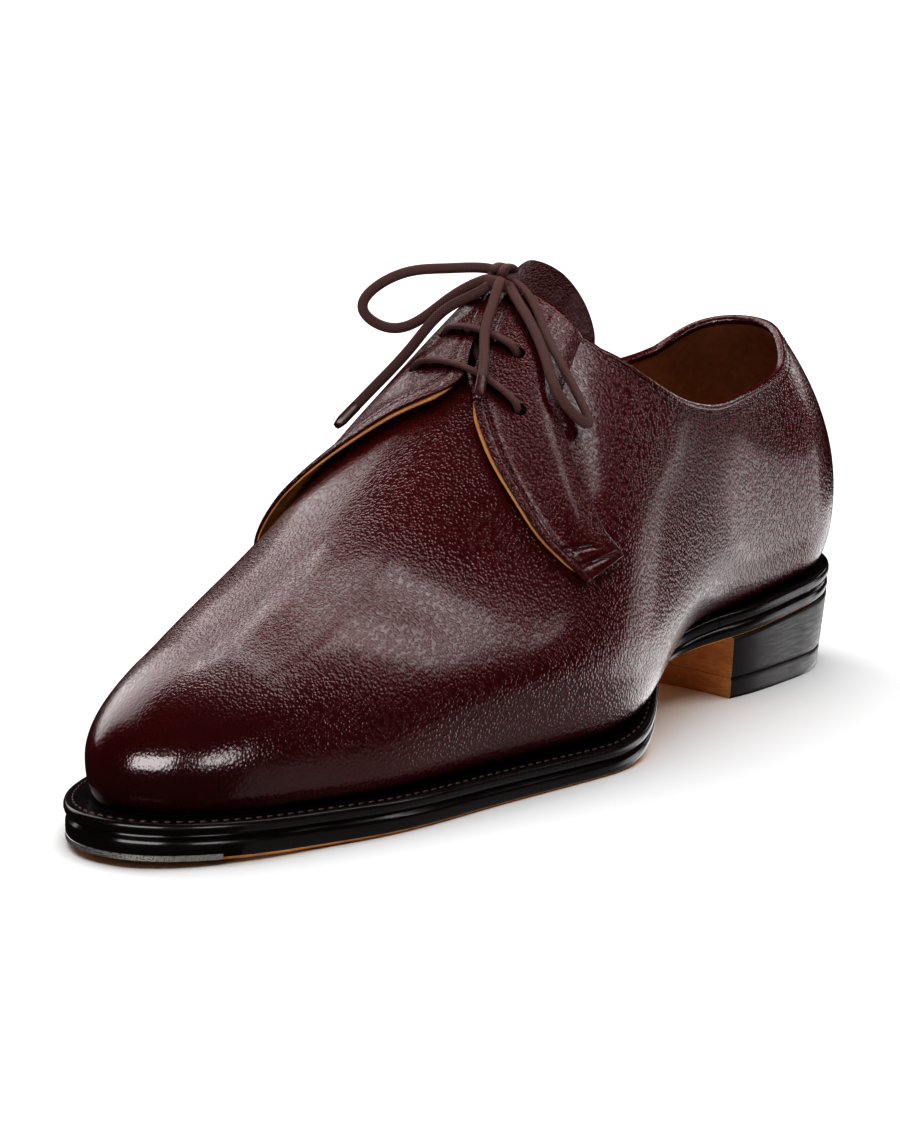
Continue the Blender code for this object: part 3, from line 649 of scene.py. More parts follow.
def tube(path, ups, width, thick):
    """A bmesh tube of flattened section along a path, closed to a point at both ends."""
    path = np.array(path, float)
    count = len(path)
    ways = unit(np.gradient(path, axis=0))
    ups = np.asarray(ups, float)
    ups = unit(ups - ways * (ups * ways).sum(1, keepdims=True))
    across = np.cross(ways, ups)
    size = np.ones(count)
    for k, share in enumerate(TUBE_ENDS):
        size[k] = size[-1 - k] = share
    path[1] = blend(path[0], path[1], TUBE_END_STEP)
    path[-2] = blend(path[-1], path[-2], TUBE_END_STEP)

    def place(u, v):
        i = nth(u, count - 1)
        turn = 2 * math.pi * v
        out_x, out_y = (np.sign(a) * np.abs(a) ** TUBE_SQUARE for a in (np.sin(turn), np.cos(turn)))
        round_x = out_x[:, None] * across[i] * width / 2
        round_y = out_y[:, None] * ups[i] * thick / 2
        return path[i] + (round_x + round_y) * size[i][:, None]

    bm = grid(count - 1, TUBE_SIDES, place, (lengths(path)[-1], math.pi * width))
    merge(bm)
    return bm


def steady(path, first):
    """Normals along a path that turn as little as they can, from a first one."""
    ways = unit(np.gradient(path, axis=0))
    ups = [np.asarray(first, float)]
    for way in ways[1:]:
        up = ups[-1] - way * (ups[-1] @ way)
        ups.append(up / np.linalg.norm(up))
    return np.array(ups)


def join(bodies):
    """One bmesh from several."""
    whole = bmesh.new()
    whole.loops.layers.uv.new("UVMap")
    for body in bodies:
        mesh = bpy.data.meshes.new("part")
        body.to_mesh(mesh)
        body.free()
        whole.from_mesh(mesh)
        bpy.data.meshes.remove(mesh)
    return whole


def stitches(path, ups, pitch, thread_size):
    """A bmesh of short threads laid along a path on a surface."""
    length, width, height = thread_size
    at = lengths(path)
    want = np.arange(pitch / 2, at[-1], pitch)
    spots, turns = sample(path, at, want), sample(ups, at, want)
    ways = sample(path, at, want + STITCH_REACH) - sample(path, at, want - STITCH_REACH)
    bm = bmesh.new()
    bm.loops.layers.uv.new("UVMap")
    for spot, way, up in zip(world(spots), world_way(ways), world_way(turns)):
        way = Vector(way).normalized()
        up = (Vector(up) - way * Vector(up).dot(way)).normalized()
        across = up.cross(way)
        axes = Matrix((way * length / 2 * MM, across * width / 2 * MM, up * height / 2 * MM)).transposed()
        bmesh.ops.create_uvsphere(bm, u_segments=6, v_segments=4, radius=1.0,
                                  matrix=Matrix.Translation(Vector(spot)) @ axes.to_4x4())
    return bm


def close_ends(bm, triangles=False):
    """Joins a band's seam, closes its open ends and turns its faces out."""
    merge(bm, closed=False)
    bmesh.ops.holes_fill(bm, edges=[edge for edge in bm.edges if edge.is_boundary])
    if triangles:
        bmesh.ops.triangulate(bm, faces=[face for face in bm.faces if len(face.verts) > 4])
    bmesh.ops.recalc_face_normals(bm, faces=bm.faces)


def strip_ring(places, inner, outer, low, high, profile):
    """A bmesh band round the sole between two lines, each an outline and its growth.

    The profile is closed: share from the inner to the outer line, share of the height.
    """
    sides, qs = np.array(places, float).T
    shares, heights = np.array([*profile, profile[0]], float).T
    (in_x, in_s), (out_x, out_s) = (outline(layer, sides, qs, grow) for layer, grow in (inner, outer))
    run = np.hypot(np.diff(out_x), np.diff(out_s)).sum()

    def place(u, v):
        i = nth(u, len(qs) - 1)
        k = nth(v, len(profile))
        x = blend(in_x[i], out_x[i], shares[k])
        station = blend(in_s[i], out_s[i], shares[k])
        z = blend(low(station), high(station), heights[k])
        return np.stack([x, station, z], -1)

    bm = grid(len(qs) - 1, len(profile), place, (run, BAND_UV))
    close_ends(bm)
    return bm


def end_shares(count):
    """Even shares of the way over an end, without its start."""
    return np.arange(1, count + 1) / count


def round_places(side_qs, end_qs):
    """Places from the outer side over the toe or heel to the inner side."""
    half = np.concatenate([side_qs, end_qs])
    return [(OUT, q) for q in half] + [(IN, q) for q in half[-2::-1]]


class Nodes:
    """Short way to write a material's nodes."""

    def __init__(self, name, colour, rough, **inputs):
        self.material = bpy.data.materials.new(name)
        self.material.use_nodes = True
        self.tree = self.material.node_tree
        self.shader = self.tree.nodes["Principled BSDF"]
        self.feed(self.shader, {"Base Color": (*colour[:3], 1.0), "Roughness": rough, **inputs})

    def feed(self, node, inputs):
        """Sets or links a node's inputs, given by name or number."""
        for key, value in inputs.items():
            socket = node.inputs[key.replace("_", " ") if isinstance(key, str) else key]
            if isinstance(value, bpy.types.NodeSocket):
                self.tree.links.new(value, socket)
            else:
                socket.default_value = value

    def add(self, kind, inputs=None, settings=None, **more):
        """A node of a kind with its settings made and its inputs fed."""
        node = self.tree.nodes.new("ShaderNode" + kind)
        for key, value in (settings or {}).items():
            setattr(node, key, value)
        self.feed(node, {**(inputs or {}), **more})
        return node

    def link(self, socket, name):
        """Feeds one of the shader's inputs."""
        self.feed(self.shader, {name: socket})

    def coords(self, kind="Object"):
        """Pattern coordinates on the piece."""
        return self.add("TexCoord").outputs[kind]

    def place(self, scale=(1.0, 1.0, 1.0), turn=(0.0, 0.0, 0.0), start=None):
        """Pattern coordinates scaled and turned."""
        return self.add("Mapping", {"Vector": start or self.coords()}, Scale=scale, Rotation=turn).outputs["Vector"]

    def axes(self, kind):
        """The single coordinates X, Y and Z."""
        return self.add("SeparateXYZ", {"Vector": self.coords(kind)}).outputs

    def noise(self, place, scale, detail, rough=0.5):
        """Clouded values."""
        return self.add("TexNoise", {"Vector": place}, Scale=scale, Detail=detail, Roughness=rough).outputs["Fac"]

    def range(self, socket, low, high, out_low=0.0, out_high=1.0):
        """A value carried from one range to another, held at the ends."""
        node = self.add("MapRange", {"Value": socket}, {"interpolation_type": "SMOOTHSTEP"},
                        From_Min=low, From_Max=high, To_Min=out_low, To_Max=out_high)
        return node.outputs["Result"]

    def math(self, kind, a, b):
        """Two values joined by an operation."""
        return self.add("Math", {0: a, 1: b}, {"operation": kind}).outputs[0]

    def mix(self, factor, a, b):
        """Two colours mixed by a factor."""
        a, b = (value if isinstance(value, bpy.types.NodeSocket) else (*value[:3], 1.0) for value in (a, b))
        return self.add("Mix", {0: factor, 6: a, 7: b}, {"data_type": "RGBA"}).outputs[2]

    def bump(self, height, strength, distance):
        """Relief from a height."""
        node = self.add("Bump", {"Height": height, "Strength": strength}, Distance=distance)
        self.link(node.outputs["Normal"], "Normal")


# Grain of the leather: patterns to the metre, depths in metres, where along the shoe its burnish fades out, and where
# up the wall the painted shade at its foot by the welt fades out
PEBBLES = 1350.0
FINE_PITS = 2800.0
SWELLS = 760.0
TONE_PATCHES = 22.0
WANDER_PATTERN = 420.0
WANDER = 0.0006
GRAIN_DEPTH = 0.00015
POLISHED_DEPTH = 0.00013
TOE_BURNISH = (-0.15, -0.075)
HEEL_BURNISH = (0.16, 0.10)
FOOT_PAINTED_SHADE = (0.085, 0.035)


def grained_leather(name, colour, deep, polish=True, grain=1.0, gloss=0.5, tab=False):
    """Polished leather with pitted grain, calmer and glossier on a burnished toe and heel; shade is painted into the
    grain's furrows and, on the polished upper, near black along the foot of the wall by the welt.
    """
    kit = Nodes(name, colour, 0.24, Coat_Weight=0.5 * gloss, Coat_Roughness=0.12, Specular_IOR_Level=gloss)
    coords = kit.coords()
    bend = kit.add("TexNoise", {"Vector": coords}, Scale=WANDER_PATTERN, Detail=3.0).outputs["Color"]
    wander = kit.add("VectorMath", {0: bend}, {"operation": "SCALE"}, Scale=WANDER).outputs["Vector"]
    wander = kit.add("VectorMath", {0: coords, 1: wander}, {"operation": "ADD"}).outputs["Vector"]
    turned = kit.place((1.0, 0.75, 0.7), (0.5, 0.3, 0.5), wander)
    cells = kit.add("TexVoronoi", {"Vector": turned}, {"feature": "SMOOTH_F1"}, Scale=PEBBLES, Randomness=0.9,
                    Smoothness=0.2)
    pebble = kit.range(cells.outputs["Distance"], 0.75, 0.1)
    relief = kit.math("MULTIPLY", pebble, 0.9)
    for pattern, share in ((kit.noise(coords, FINE_PITS, 3.0, 0.6), 0.1), (kit.noise(turned, SWELLS, 2.0), 0.4)):
        relief = kit.math("ADD", relief, kit.math("MULTIPLY", pattern, share))
    along = kit.axes("UV")
    shade = kit.math("MULTIPLY", kit.range(kit.noise(coords, TONE_PATCHES, 4.0), 0.3, 0.7), 0.45)
    # Painted shade: the furrows between the pebbles take the deep colour, as if they lie in shade.
    colour_with_painted_shade = kit.mix(kit.range(pebble, 0.0, 0.5, 0.55, 1.0), deep, colour)
    if polish:
        length = kit.axes("Object")["Y"]
        calm = kit.math("MULTIPLY", kit.range(length, *TOE_BURNISH), kit.range(length, *HEEL_BURNISH, 0.7, 1.0))
        kit.bump(relief, kit.math("ADD", kit.math("MULTIPLY", calm, 0.6 * grain), 0.32), POLISHED_DEPTH)
        kit.link(kit.range(calm, 0.0, 1.0, 0.2, 0.23), "Roughness")
        shade = kit.math("ADD", shade, kit.range(calm, 1.0, 0.0, 0.0, 0.3))
        # Painted shade: the foot of the wall by the welt is darkened almost to black, as the crease between upper and
        # welt in shade; its gloss is lowered there too.
        foot = kit.range(along["Y"], *FOOT_PAINTED_SHADE)
        colour_with_painted_shade = kit.mix(foot, kit.mix(shade, colour_with_painted_shade, deep), [c * 0.1 for c in deep])
        kit.link(kit.range(foot, 0.0, 1.0, 0.5, 0.1), "Specular IOR Level")
        kit.link(kit.range(foot, 0.0, 1.0, 0.25, 0.0), "Coat Weight")
    else:
        kit.bump(relief, kit.range(along["X"], 0.98, 0.72, 0.2, grain) if tab else grain, GRAIN_DEPTH)
        colour_with_painted_shade = kit.mix(shade, colour_with_painted_shade, deep)
    kit.link(colour_with_painted_shade, "Base Color")
    return kit.material


def plain_leather(name, colour, deep, rough=0.6, scale=400.0, streak=(1.0, 1.0, 1.0)):
    """Smooth leather with faint fibre and uneven tone."""
    kit = Nodes(name, colour, rough)
    place = kit.place(streak)
    fibre = kit.noise(place, scale, 6.0, 0.65)
    tone = kit.noise(place, scale / 14, 3.0)
    mixed = kit.math("ADD", kit.math("MULTIPLY", fibre, 0.5), kit.math("MULTIPLY", tone, 0.5))
    kit.link(kit.mix(kit.range(mixed, 0.35, 0.65), deep, colour), "Base Color")
    kit.bump(fibre, 0.25, 0.0002)
    return kit.material


def edge_polish(name, colour, rough):
    """Waxed black edge with faint streaks along the sole."""
    kit = Nodes(name, colour, rough, Coat_Weight=0.08, Coat_Roughness=0.15, Specular_IOR_Level=0.3)
    streak = kit.noise(kit.place((1.0, 1.0, 12.0)), 130.0, 5.0)
    kit.link(kit.range(streak, 0.3, 0.7, rough * 0.85, rough * 1.2), "Roughness")
    lighter = [min(1.0, c * 1.3 + 0.001) for c in colour[:3]]
    kit.link(kit.mix(kit.range(streak, 0.4, 0.75), colour, lighter), "Base Color")
    kit.bump(streak, 0.12, 0.00004)
    return kit.material


def woven_lace(name, colour, light):
    """Waxed lace with a fine crossing weave along its length."""
    kit = Nodes(name, colour, 0.55, Specular_IOR_Level=0.14)
    one, two = (kit.add("TexWave", {"Vector": kit.place((0.62, 0.62, 1.0), (0.0, 0.0, turn), kit.coords("UV"))},
                        Scale=1.0).outputs["Fac"] for turn in (0.8, -0.8))
    weave = kit.math("MAXIMUM", one, two)
    kit.link(kit.mix(kit.range(weave, 0.2, 0.9), colour, light), "Base Color")
    kit.bump(weave, 0.8, 0.0003)
    return kit.material


def thread(name, colour):
    """Waxed sewing thread."""
    kit = Nodes(name, colour, 0.45)
    twist = kit.add("TexWave", {"Vector": kit.place(turn=(0.6, 0.4, 0.0))}, Scale=900.0)
    kit.link(kit.mix(twist.outputs["Fac"], [c * 0.55 for c in colour[:3]], colour), "Base Color")
    return kit.material


def rough_skin(kit, pattern, low, high, strength):
    """Lets a pattern vary a material's roughness and raise a fine relief."""
    kit.link(kit.range(pattern, 0.3, 0.7, low, high), "Roughness")
    kit.bump(pattern, strength, 0.0001)
    return kit.material


def brushed_metal(name, colour):
    """Steel with fine brushing and small scuffs."""
    kit = Nodes(name, colour, 0.36, Metallic=0.8)
    return rough_skin(kit, kit.noise(kit.place((1.0, 30.0, 30.0)), 160.0, 4.0), 0.22, 0.42, 0.15)


def moulded_rubber(name, colour):
    """Matt rubber with a fine moulded skin."""
    kit = Nodes(name, colour, 0.7)
    return rough_skin(kit, kit.noise(kit.place(), 1500.0, 3.0), 0.6, 0.82, 0.3)


def colour_prop(name, words, value):
    """A colour that a user may change."""
    return FloatVectorProperty(name=name, description=words, default=value, subtype="COLOR", size=3, min=0.0, max=1.0)


def length_prop(name, words, value):
    """A length that a user may change."""
    return FloatProperty(name=name, description=words, default=value * MM, subtype="DISTANCE", unit="LENGTH", min=0.0)


class ShoeSizes(bpy.types.PropertyGroup):
    """Thicknesses and spacings of the dressed pieces."""
    wall: length_prop("Wall", "Thickness of the upper with its lining", 2.2)
    facing: length_prop("Facing", "Thickness of a facing's leather", 1.1)
    lining: length_prop("Facing lining", "Thickness of the lining under a facing", 0.5)
    tongue: length_prop("Tongue", "Thickness of the tongue", 2.0)
    bead: length_prop("Bead", "Diameter of the bead round the collar", 2.7)
    lace_width: length_prop("Lace width", "Width of the lace", 2.9)
    lace_thick: length_prop("Lace thickness", "Thickness of the lace", 1.6)
    eyelet: length_prop("Eyelet", "Radius of a lace hole", 2.0)
    seam_pitch: length_prop("Seam pitch", "Distance from stitch to stitch on the upper", 1.9)
    welt_pitch: length_prop("Welt pitch", "Distance from stitch to stitch on the welt", 3.1)


class ShoeColours(bpy.types.PropertyGroup):
    """Colours of the materials."""
    upper: colour_prop("Upper", "Leather of the upper", (0.092, 0.0044, 0.0066))
    # Darker tone of upper, facings and tongue: their burnish and tone patches, and painted shade in the grain's
    # furrows and along the foot of the wall
    upper_deep: colour_prop("Upper deep", "Leather of the upper in its pits and burnish", (0.042, 0.0016, 0.0026))
    facing: colour_prop("Facing", "Leather of the facings", (0.094, 0.0046, 0.0066))
    # Painted shade: the tongue is a much darker copy of the upper's leather, as it lies in shade under the laces and
    # facings
    tongue: colour_prop("Tongue", "Leather of the tongue", (0.036, 0.0016, 0.0024))
    lining: colour_prop("Lining", "Leather lining", (0.52, 0.27, 0.10))
    lining_deep: colour_prop("Lining deep", "Darker tone of the lining", (0.36, 0.16, 0.05))
    edge: colour_prop("Edge", "Waxed edge of welt, sole and heel", (0.0130, 0.0066, 0.0074))
    natural: colour_prop("Natural", "Undyed sole leather", (0.80, 0.38, 0.115))
    natural_deep: colour_prop("Natural deep", "Darker tone of the sole leather", (0.56, 0.23, 0.060))
    lace: colour_prop("Lace", "Waxed lace", (0.085, 0.036, 0.033))
    lace_light: colour_prop("Lace light", "Raised threads of the lace", (0.19, 0.098, 0.090))
    tip: colour_prop("Tip", "Dipped ends of the lace", (0.055, 0.012, 0.010))
    seam: colour_prop("Seam", "Thread on the upper", (0.016, 0.004, 0.004))
    welt_seam: colour_prop("Welt seam", "Thread on the welt", (0.110, 0.036, 0.026))
    metal: colour_prop("Metal", "Toe plate", (0.60, 0.57, 0.53))
    rubber: colour_prop("Rubber", "Rubber tip of the heel", (0.008, 0.008, 0.008))
    floor: colour_prop("Floor", "Pale studio floor", (0.90, 0.90, 0.90))


def sizes():
    """The sizes in millimetres."""
    group = bpy.context.scene.shoe_sizes
    return {key: getattr(group, key) / MM for key in ShoeSizes.__annotations__}


def colours():
    """The colours as plain tuples."""
    group = bpy.context.scene.shoe_colours
    return {key: tuple(getattr(group, key)) for key in ShoeColours.__annotations__}


class ShoePiece(bpy.types.Operator):
    """Common part of the shoe's operators."""
    bl_options = {"REGISTER", "UNDO"}

    def execute(self, context):
        self.build(sizes(), colours())
        return {"FINISHED"}


# The photo's camera in the row's frame, metres
CAMERA_PLACE = (0.86708, -1.15555, 0.38650)
CAMERA_AIM = (-0.0300, 0.0306, 0.0414)
CAMERA_LENS = 172.6
SENSOR_WIDTH = 36.0
FAR_CLIP = 50.0
FLOOR_HALF = 4.0
WORLD_STRENGTH = 0.015

# Soft lights: name, place, aim, turn about the aim in degrees, width, height, power, seen by matt surfaces
LIGHTS = (
    ("left_panel", (-1.356, 0.288, 0.85), (0.0, 0.0, 0.05), 0.0, 1.0, 1.3, 8.4, True),
    ("top_strip_left", (-0.42, 0.54, 1.50), (-0.42, 0.54, 0.0), -14.5, 1.30, 0.30, 4.6, False),
    ("top_patch", (-0.80, 0.585, 1.50), (-0.80, 0.585, 0.0), 0.0, 0.30, 0.30, 3.0, False),
    ("top_strip_right", (1.70, 1.21, 1.50), (1.70, 1.21, 0.0), 30.8, 3.23, 0.28, 17.0, False),
    ("front_left", (0.32, -1.47, 0.58), (0.0, 0.0, 0.05), 0.0, 1.45, 0.72, 29.0, False),
    ("front_right", (1.43, -0.58, 0.38), (0.0, 0.0, 0.05), 0.0, 0.45, 0.50, 5.6, False),
    ("backdrop_high", (0.34, 2.9, 0.74), (0.0, 0.0, 0.05), 0.0, 1.1, 0.6, 5.0, True),
    ("backdrop_right", (1.58, 2.74, -0.45), (0.0, 0.0, -0.1), 0.0, 1.1, 1.3, 10.4, True),
    ("backdrop_low", (0.1, 2.6, -0.95), (0.0, 0.0, -0.1), 0.0, 2.1, 0.8, 7.5, True),
    ("floor_glow", (0.10, 0.02, 0.0006), (0.10, 0.02, 1.0), 0.0, 0.16, 0.30, 0.055, False),
    ("ceiling", (0.0, 0.6, 3.0), (0.0, 0.6, 0.0), 0.0, 4.5, 4.5, 130.0, True),
)


class SHOE_OT_stage(ShoePiece):
    """Camera, lights and pale floor of a plain studio"""
    bl_idname = "shoe.stage"
    bl_label = "Stage"

    def build(self, size, colour):
        scene = bpy.context.scene
        eye = bpy.data.cameras.new("camera")
        eye.lens = CAMERA_LENS
        eye.sensor_width = SENSOR_WIDTH
        eye.clip_end = FAR_CLIP
        camera = bpy.data.objects.new("camera", eye)
        camera.location = CAMERA_PLACE
        way = Vector(CAMERA_AIM) - Vector(CAMERA_PLACE)
        camera.rotation_euler = way.to_track_quat("-Z", "Y").to_euler()
        scene.collection.objects.link(camera)
        scene.camera = camera
        bm = bmesh.new()
        bmesh.ops.create_grid(bm, x_segments=1, y_segments=1, size=FLOOR_HALF)
        floor = made(bm, "floor")
        floor.data.materials.append(Nodes("studio_floor", colour["floor"], 0.9, Specular_IOR_Level=0.1).material)
        floor.visible_glossy = False
        world_light = bpy.data.worlds.new("studio")
        world_light.use_nodes = True
        glow = world_light.node_tree.nodes["Background"].inputs
        glow["Color"].default_value = (1.0, 1.0, 1.0, 1.0)
        glow["Strength"].default_value = WORLD_STRENGTH
        scene.world = world_light
        scene.view_settings.view_transform = "Standard"
        scene.view_settings.look = "High Contrast"
        for name, place, aim, turn, wide, high, power, matt in LIGHTS:
            lamp = bpy.data.lights.new(name, "AREA")
            lamp.shape = "RECTANGLE"
            lamp.size = wide
            lamp.size_y = high
            lamp.energy = power
            light = bpy.data.objects.new(name, lamp)
            light.location = place
            facing = (Vector(aim) - Vector(place)).to_track_quat("-Z", "Y")
            light.rotation_euler = (facing @ Quaternion((0.0, 0.0, 1.0), math.radians(turn))).to_euler()
            light.visible_camera = False
            light.visible_glossy = name != "ceiling"
            light.visible_diffuse = matt
            scene.collection.objects.link(light)


class SHOE_OT_laces(ShoePiece):
    """Lace: bars through the holes, the strand over the tongue, knot, loops and ends with their tips"""
    bl_idname = "shoe.laces"
    bl_label = "Laces"

    def build(self, size, colour):
        lace = woven_lace("lace_weave", colour["lace"], colour["lace_light"])
        dip = edge_polish("lace_dip", colour["tip"], 0.3)
        wide, thick = size["lace_width"], size["lace_thick"]
        centre = np.array(KNOT_CENTRE)
        turns = np.linspace(0, KNOT_TURNS, KNOT_POINTS)
        angle = 2 * math.pi * turns
        spokes = np.stack([np.zeros(KNOT_POINTS), np.cos(angle), np.sin(angle)], -1)
        winding = centre + np.outer(KNOT_PITCH * (turns - KNOT_TURNS / 2), (1.0, 0.0, 0.0)) + KNOT_RADIUS * spokes
        core = even(centre + KNOT_CORE, LACE_STEP)
        under = along_route(centre + KNOT_UNDER, LACE_STEP)
        runs = ((winding, spokes, 1.1, 1.2), (core, np.tile(UP, (len(core), 1)), 1.2, 1.3),
                (under, np.tile((0.0, 1.0, 0.4), (len(under), 1)), 1.3, 1.3))
        knot = piece(join([tube(path, ups, wide * broad, thick * deep) for path, ups, broad, deep in runs]),
                     "lace_knot", [lace], ["lace_knot"])
        for name, route in BOW_ROUTES.items():
            end = name.startswith("lace_end")
            tucked = [self.tuck(route[0]), *route] + ([] if end else [self.tuck(route[-1])])
            path = along_route(tucked, BOW_STEP)
            ups = steady(path, BOW_FLAT)
            cord = piece(tube(path, ups, wide, thick), name, [lace], [name])
            run = lengths(path)[-1] * MM
            with_pieces = [knot] if name == "lace_loop_inner" else []
            if end:
                dipped = tube(path[-TIP_POINTS:], ups[-TIP_POINTS:], wide * 1.04, thick * 1.06)
                with_pieces = [piece(dipped, name + "_tip", [dip])]
            world(path[0])
            world(path)
        for name, route, flat, nodes in (
                ("lace_bar_lower", self.bar(2), BAR_FLAT, ["lace_bar_lower"]),
                ("lace_bar_upper", self.bar(1), BAR_FLAT, ["lace_bar_upper"]),
                ("lace_bar_top", self.top_bar(), BAR_FLAT, []),
                ("lace_strand", self.strand(), UP, [])):
            path = along_route(route, LACE_STEP)
            piece(tube(path, steady(path, flat), wide, thick), name, [lace], nodes)

    @staticmethod
    def tuck(point):
        """Place inside the knot on the way to a run's first point."""
        return tuple(blend(np.array(KNOT_CENTRE), np.array(point), TUCK))

    @staticmethod
    def bar(number):
        """Bar over the throat between a pair of holes, its ends bent down into them."""
        (station, out_girth), (_, in_girth) = EYELETS[OUT][number], EYELETS[IN][number]
        near, rise = np.array(BAR_ENDS).T
        over = np.linspace(out_girth - BAR_FIRST, BAR_FIRST - in_girth, BAR_POINTS)
        girths = np.concatenate([out_girth - near, over, (near - in_girth)[::-1]])
        heights = np.concatenate([rise, np.full(BAR_POINTS, BAR_HEIGHT), rise[::-1]])
        return at_girth(OUT, station, girths, heights)

    @staticmethod
    def top_bar():
        """Lace from the top pair of holes up to the knot."""
        (station, out_girth), (_, in_girth) = EYELETS[OUT][0], EYELETS[IN][0]
        near, rise = np.array(TOP_BAR_ENDS).T
        outer = at_girth(OUT, station, out_girth - near, rise)
        inner = at_girth(IN, station, (in_girth - near)[::-1], rise[::-1])
        return np.concatenate([outer, np.add(KNOT_CENTRE, KNOT_PASS), inner])

    @staticmethod
    def strand():
        """Slanting lace on the tongue between the facings."""
        stations, girths = np.array(STRAND).T
        return at_girth(OUT, stations, girths, np.full(len(STRAND), STRAND_HEIGHT))


class SHOE_OT_upper(ShoePiece):
    """One-piece upper with its lining, the bead round the collar and the seam under it"""
    bl_idname = "shoe.upper"
    bl_label = "Upper"

    TOE_LINES = 40
    HEEL_LINES = 34
    COLLAR_LINES = 48
    WALL_ROWS = 64
    # Row of the rim's table where the bead and the seam under it start, and their places below the edge
    BEAD_ROW = 10
    BEAD_DROP = 0.2
    SEAM_DROP = 3.0
    BEAD_FLAT = 0.9

    def lines(self):
        """Wall lines in a ring from the toe round the outer side: side, q at the foot, q and share at the rim."""
        halves = {}
        rows = []
        for (one, two), steps in zip(zip(RIM, RIM[1:]), RIM_STEPS):
            for k in range(steps):
                rows.append(np.add(one, np.subtract(two, one) * (k / steps)))
        rows.append(np.array(RIM[-1]))
        rows = np.array(rows)
        for side, column in ((OUT, 1), (IN, 3)):
            toe = np.arange(self.TOE_LINES) / self.TOE_LINES
            foot = q_of(rows[:, 0])
            rim = q_of(rows[:, column])
            share = rows[:, column + 1] / MEASURE.girth(side, rim)
            stations = np.linspace(RIM[-1][column], HEEL_CENTRE, self.COLLAR_LINES + 1)[1:]
            back = np.concatenate([q_of(stations), 2 + end_shares(self.HEEL_LINES)])
            halves[side] = (np.concatenate([toe, foot, back]), np.concatenate([toe, rim, back]),
                            np.concatenate([toe * 0, share, self.collar_share(side, back)]))
        out = [np.append(a, b[-2::-1]) for a, b in zip(halves[OUT], halves[IN])]
        side = np.append(np.full(len(halves[OUT][0]), OUT), np.full(len(halves[IN][0]) - 1, IN))
        return side, *out

    def collar_share(self, side, q):
        """Share of the girth above the collar's edge on the wall lines at q."""
        want = TOPLINE["top_out" if side == OUT else "top_in"](outline("belly", side, q)[1])
        heights = skin(side, q[:, None], MEASURE.share[None, :])[..., 2]
        return np.array([np.interp(w, h[::-1], MEASURE.share[::-1]) for w, h in zip(want, heights)])

    def build(self, size, colour):
        side, foot, rim, share = self.lines()
        rows = np.concatenate([[0.0], np.linspace(0, 1, self.WALL_ROWS)])

        def place(u, v):
            i = nth(u, len(side) - 1)
            k = nth(v, self.WALL_ROWS)
            q = blend(foot[i], rim[i], rows[k])
            part = np.where(k == 0, 2.0, 1 + (share[i] - 1) * rows[k])
            return lifted(side[i], q, part, np.zeros(len(u)))

        bm = grid(len(side) - 1, self.WALL_ROWS, place)
        merge(bm, closed=False)
        leather = grained_leather("upper_grain", colour["upper"], colour["upper_deep"])
        lining = plain_leather("lining_leather", colour["lining"], colour["lining_deep"])
        upper = piece(bm, "upper", [leather, lining], ["upper"], 50)
        thicken(upper, size["wall"], lining=1)
        for way in (OUT, IN):
            drill(upper, way, size["eyelet"])
        path, ups = self.rim_path(side, rim, share, self.BEAD_DROP, -size["wall"] / 2)
        piece(tube(path, ups, size["bead"] * self.BEAD_FLAT, size["bead"]), "collar_bead", [leather])
        path, ups = self.rim_path(side, rim, share, self.SEAM_DROP, STITCH_LIFT)
        row = stitches(path, ups, size["seam_pitch"], SEAM_THREAD)
        piece(row, "collar_stitches", [thread("seam_thread", colour["seam"])])

    def rim_path(self, side, rim, share, drop, height):
        """Line along the collar from the outer facing round the heel to the inner facing, drop below the edge."""
        first = self.TOE_LINES + sum(RIM_STEPS[:self.BEAD_ROW])
        side, rim, share = (values[first:len(side) - first] for values in (side, rim, share))
        part = share + drop / MEASURE.girth(side, rim)
        return lifted(side, rim, part, np.full(len(side), height)), outward(side, rim, part)


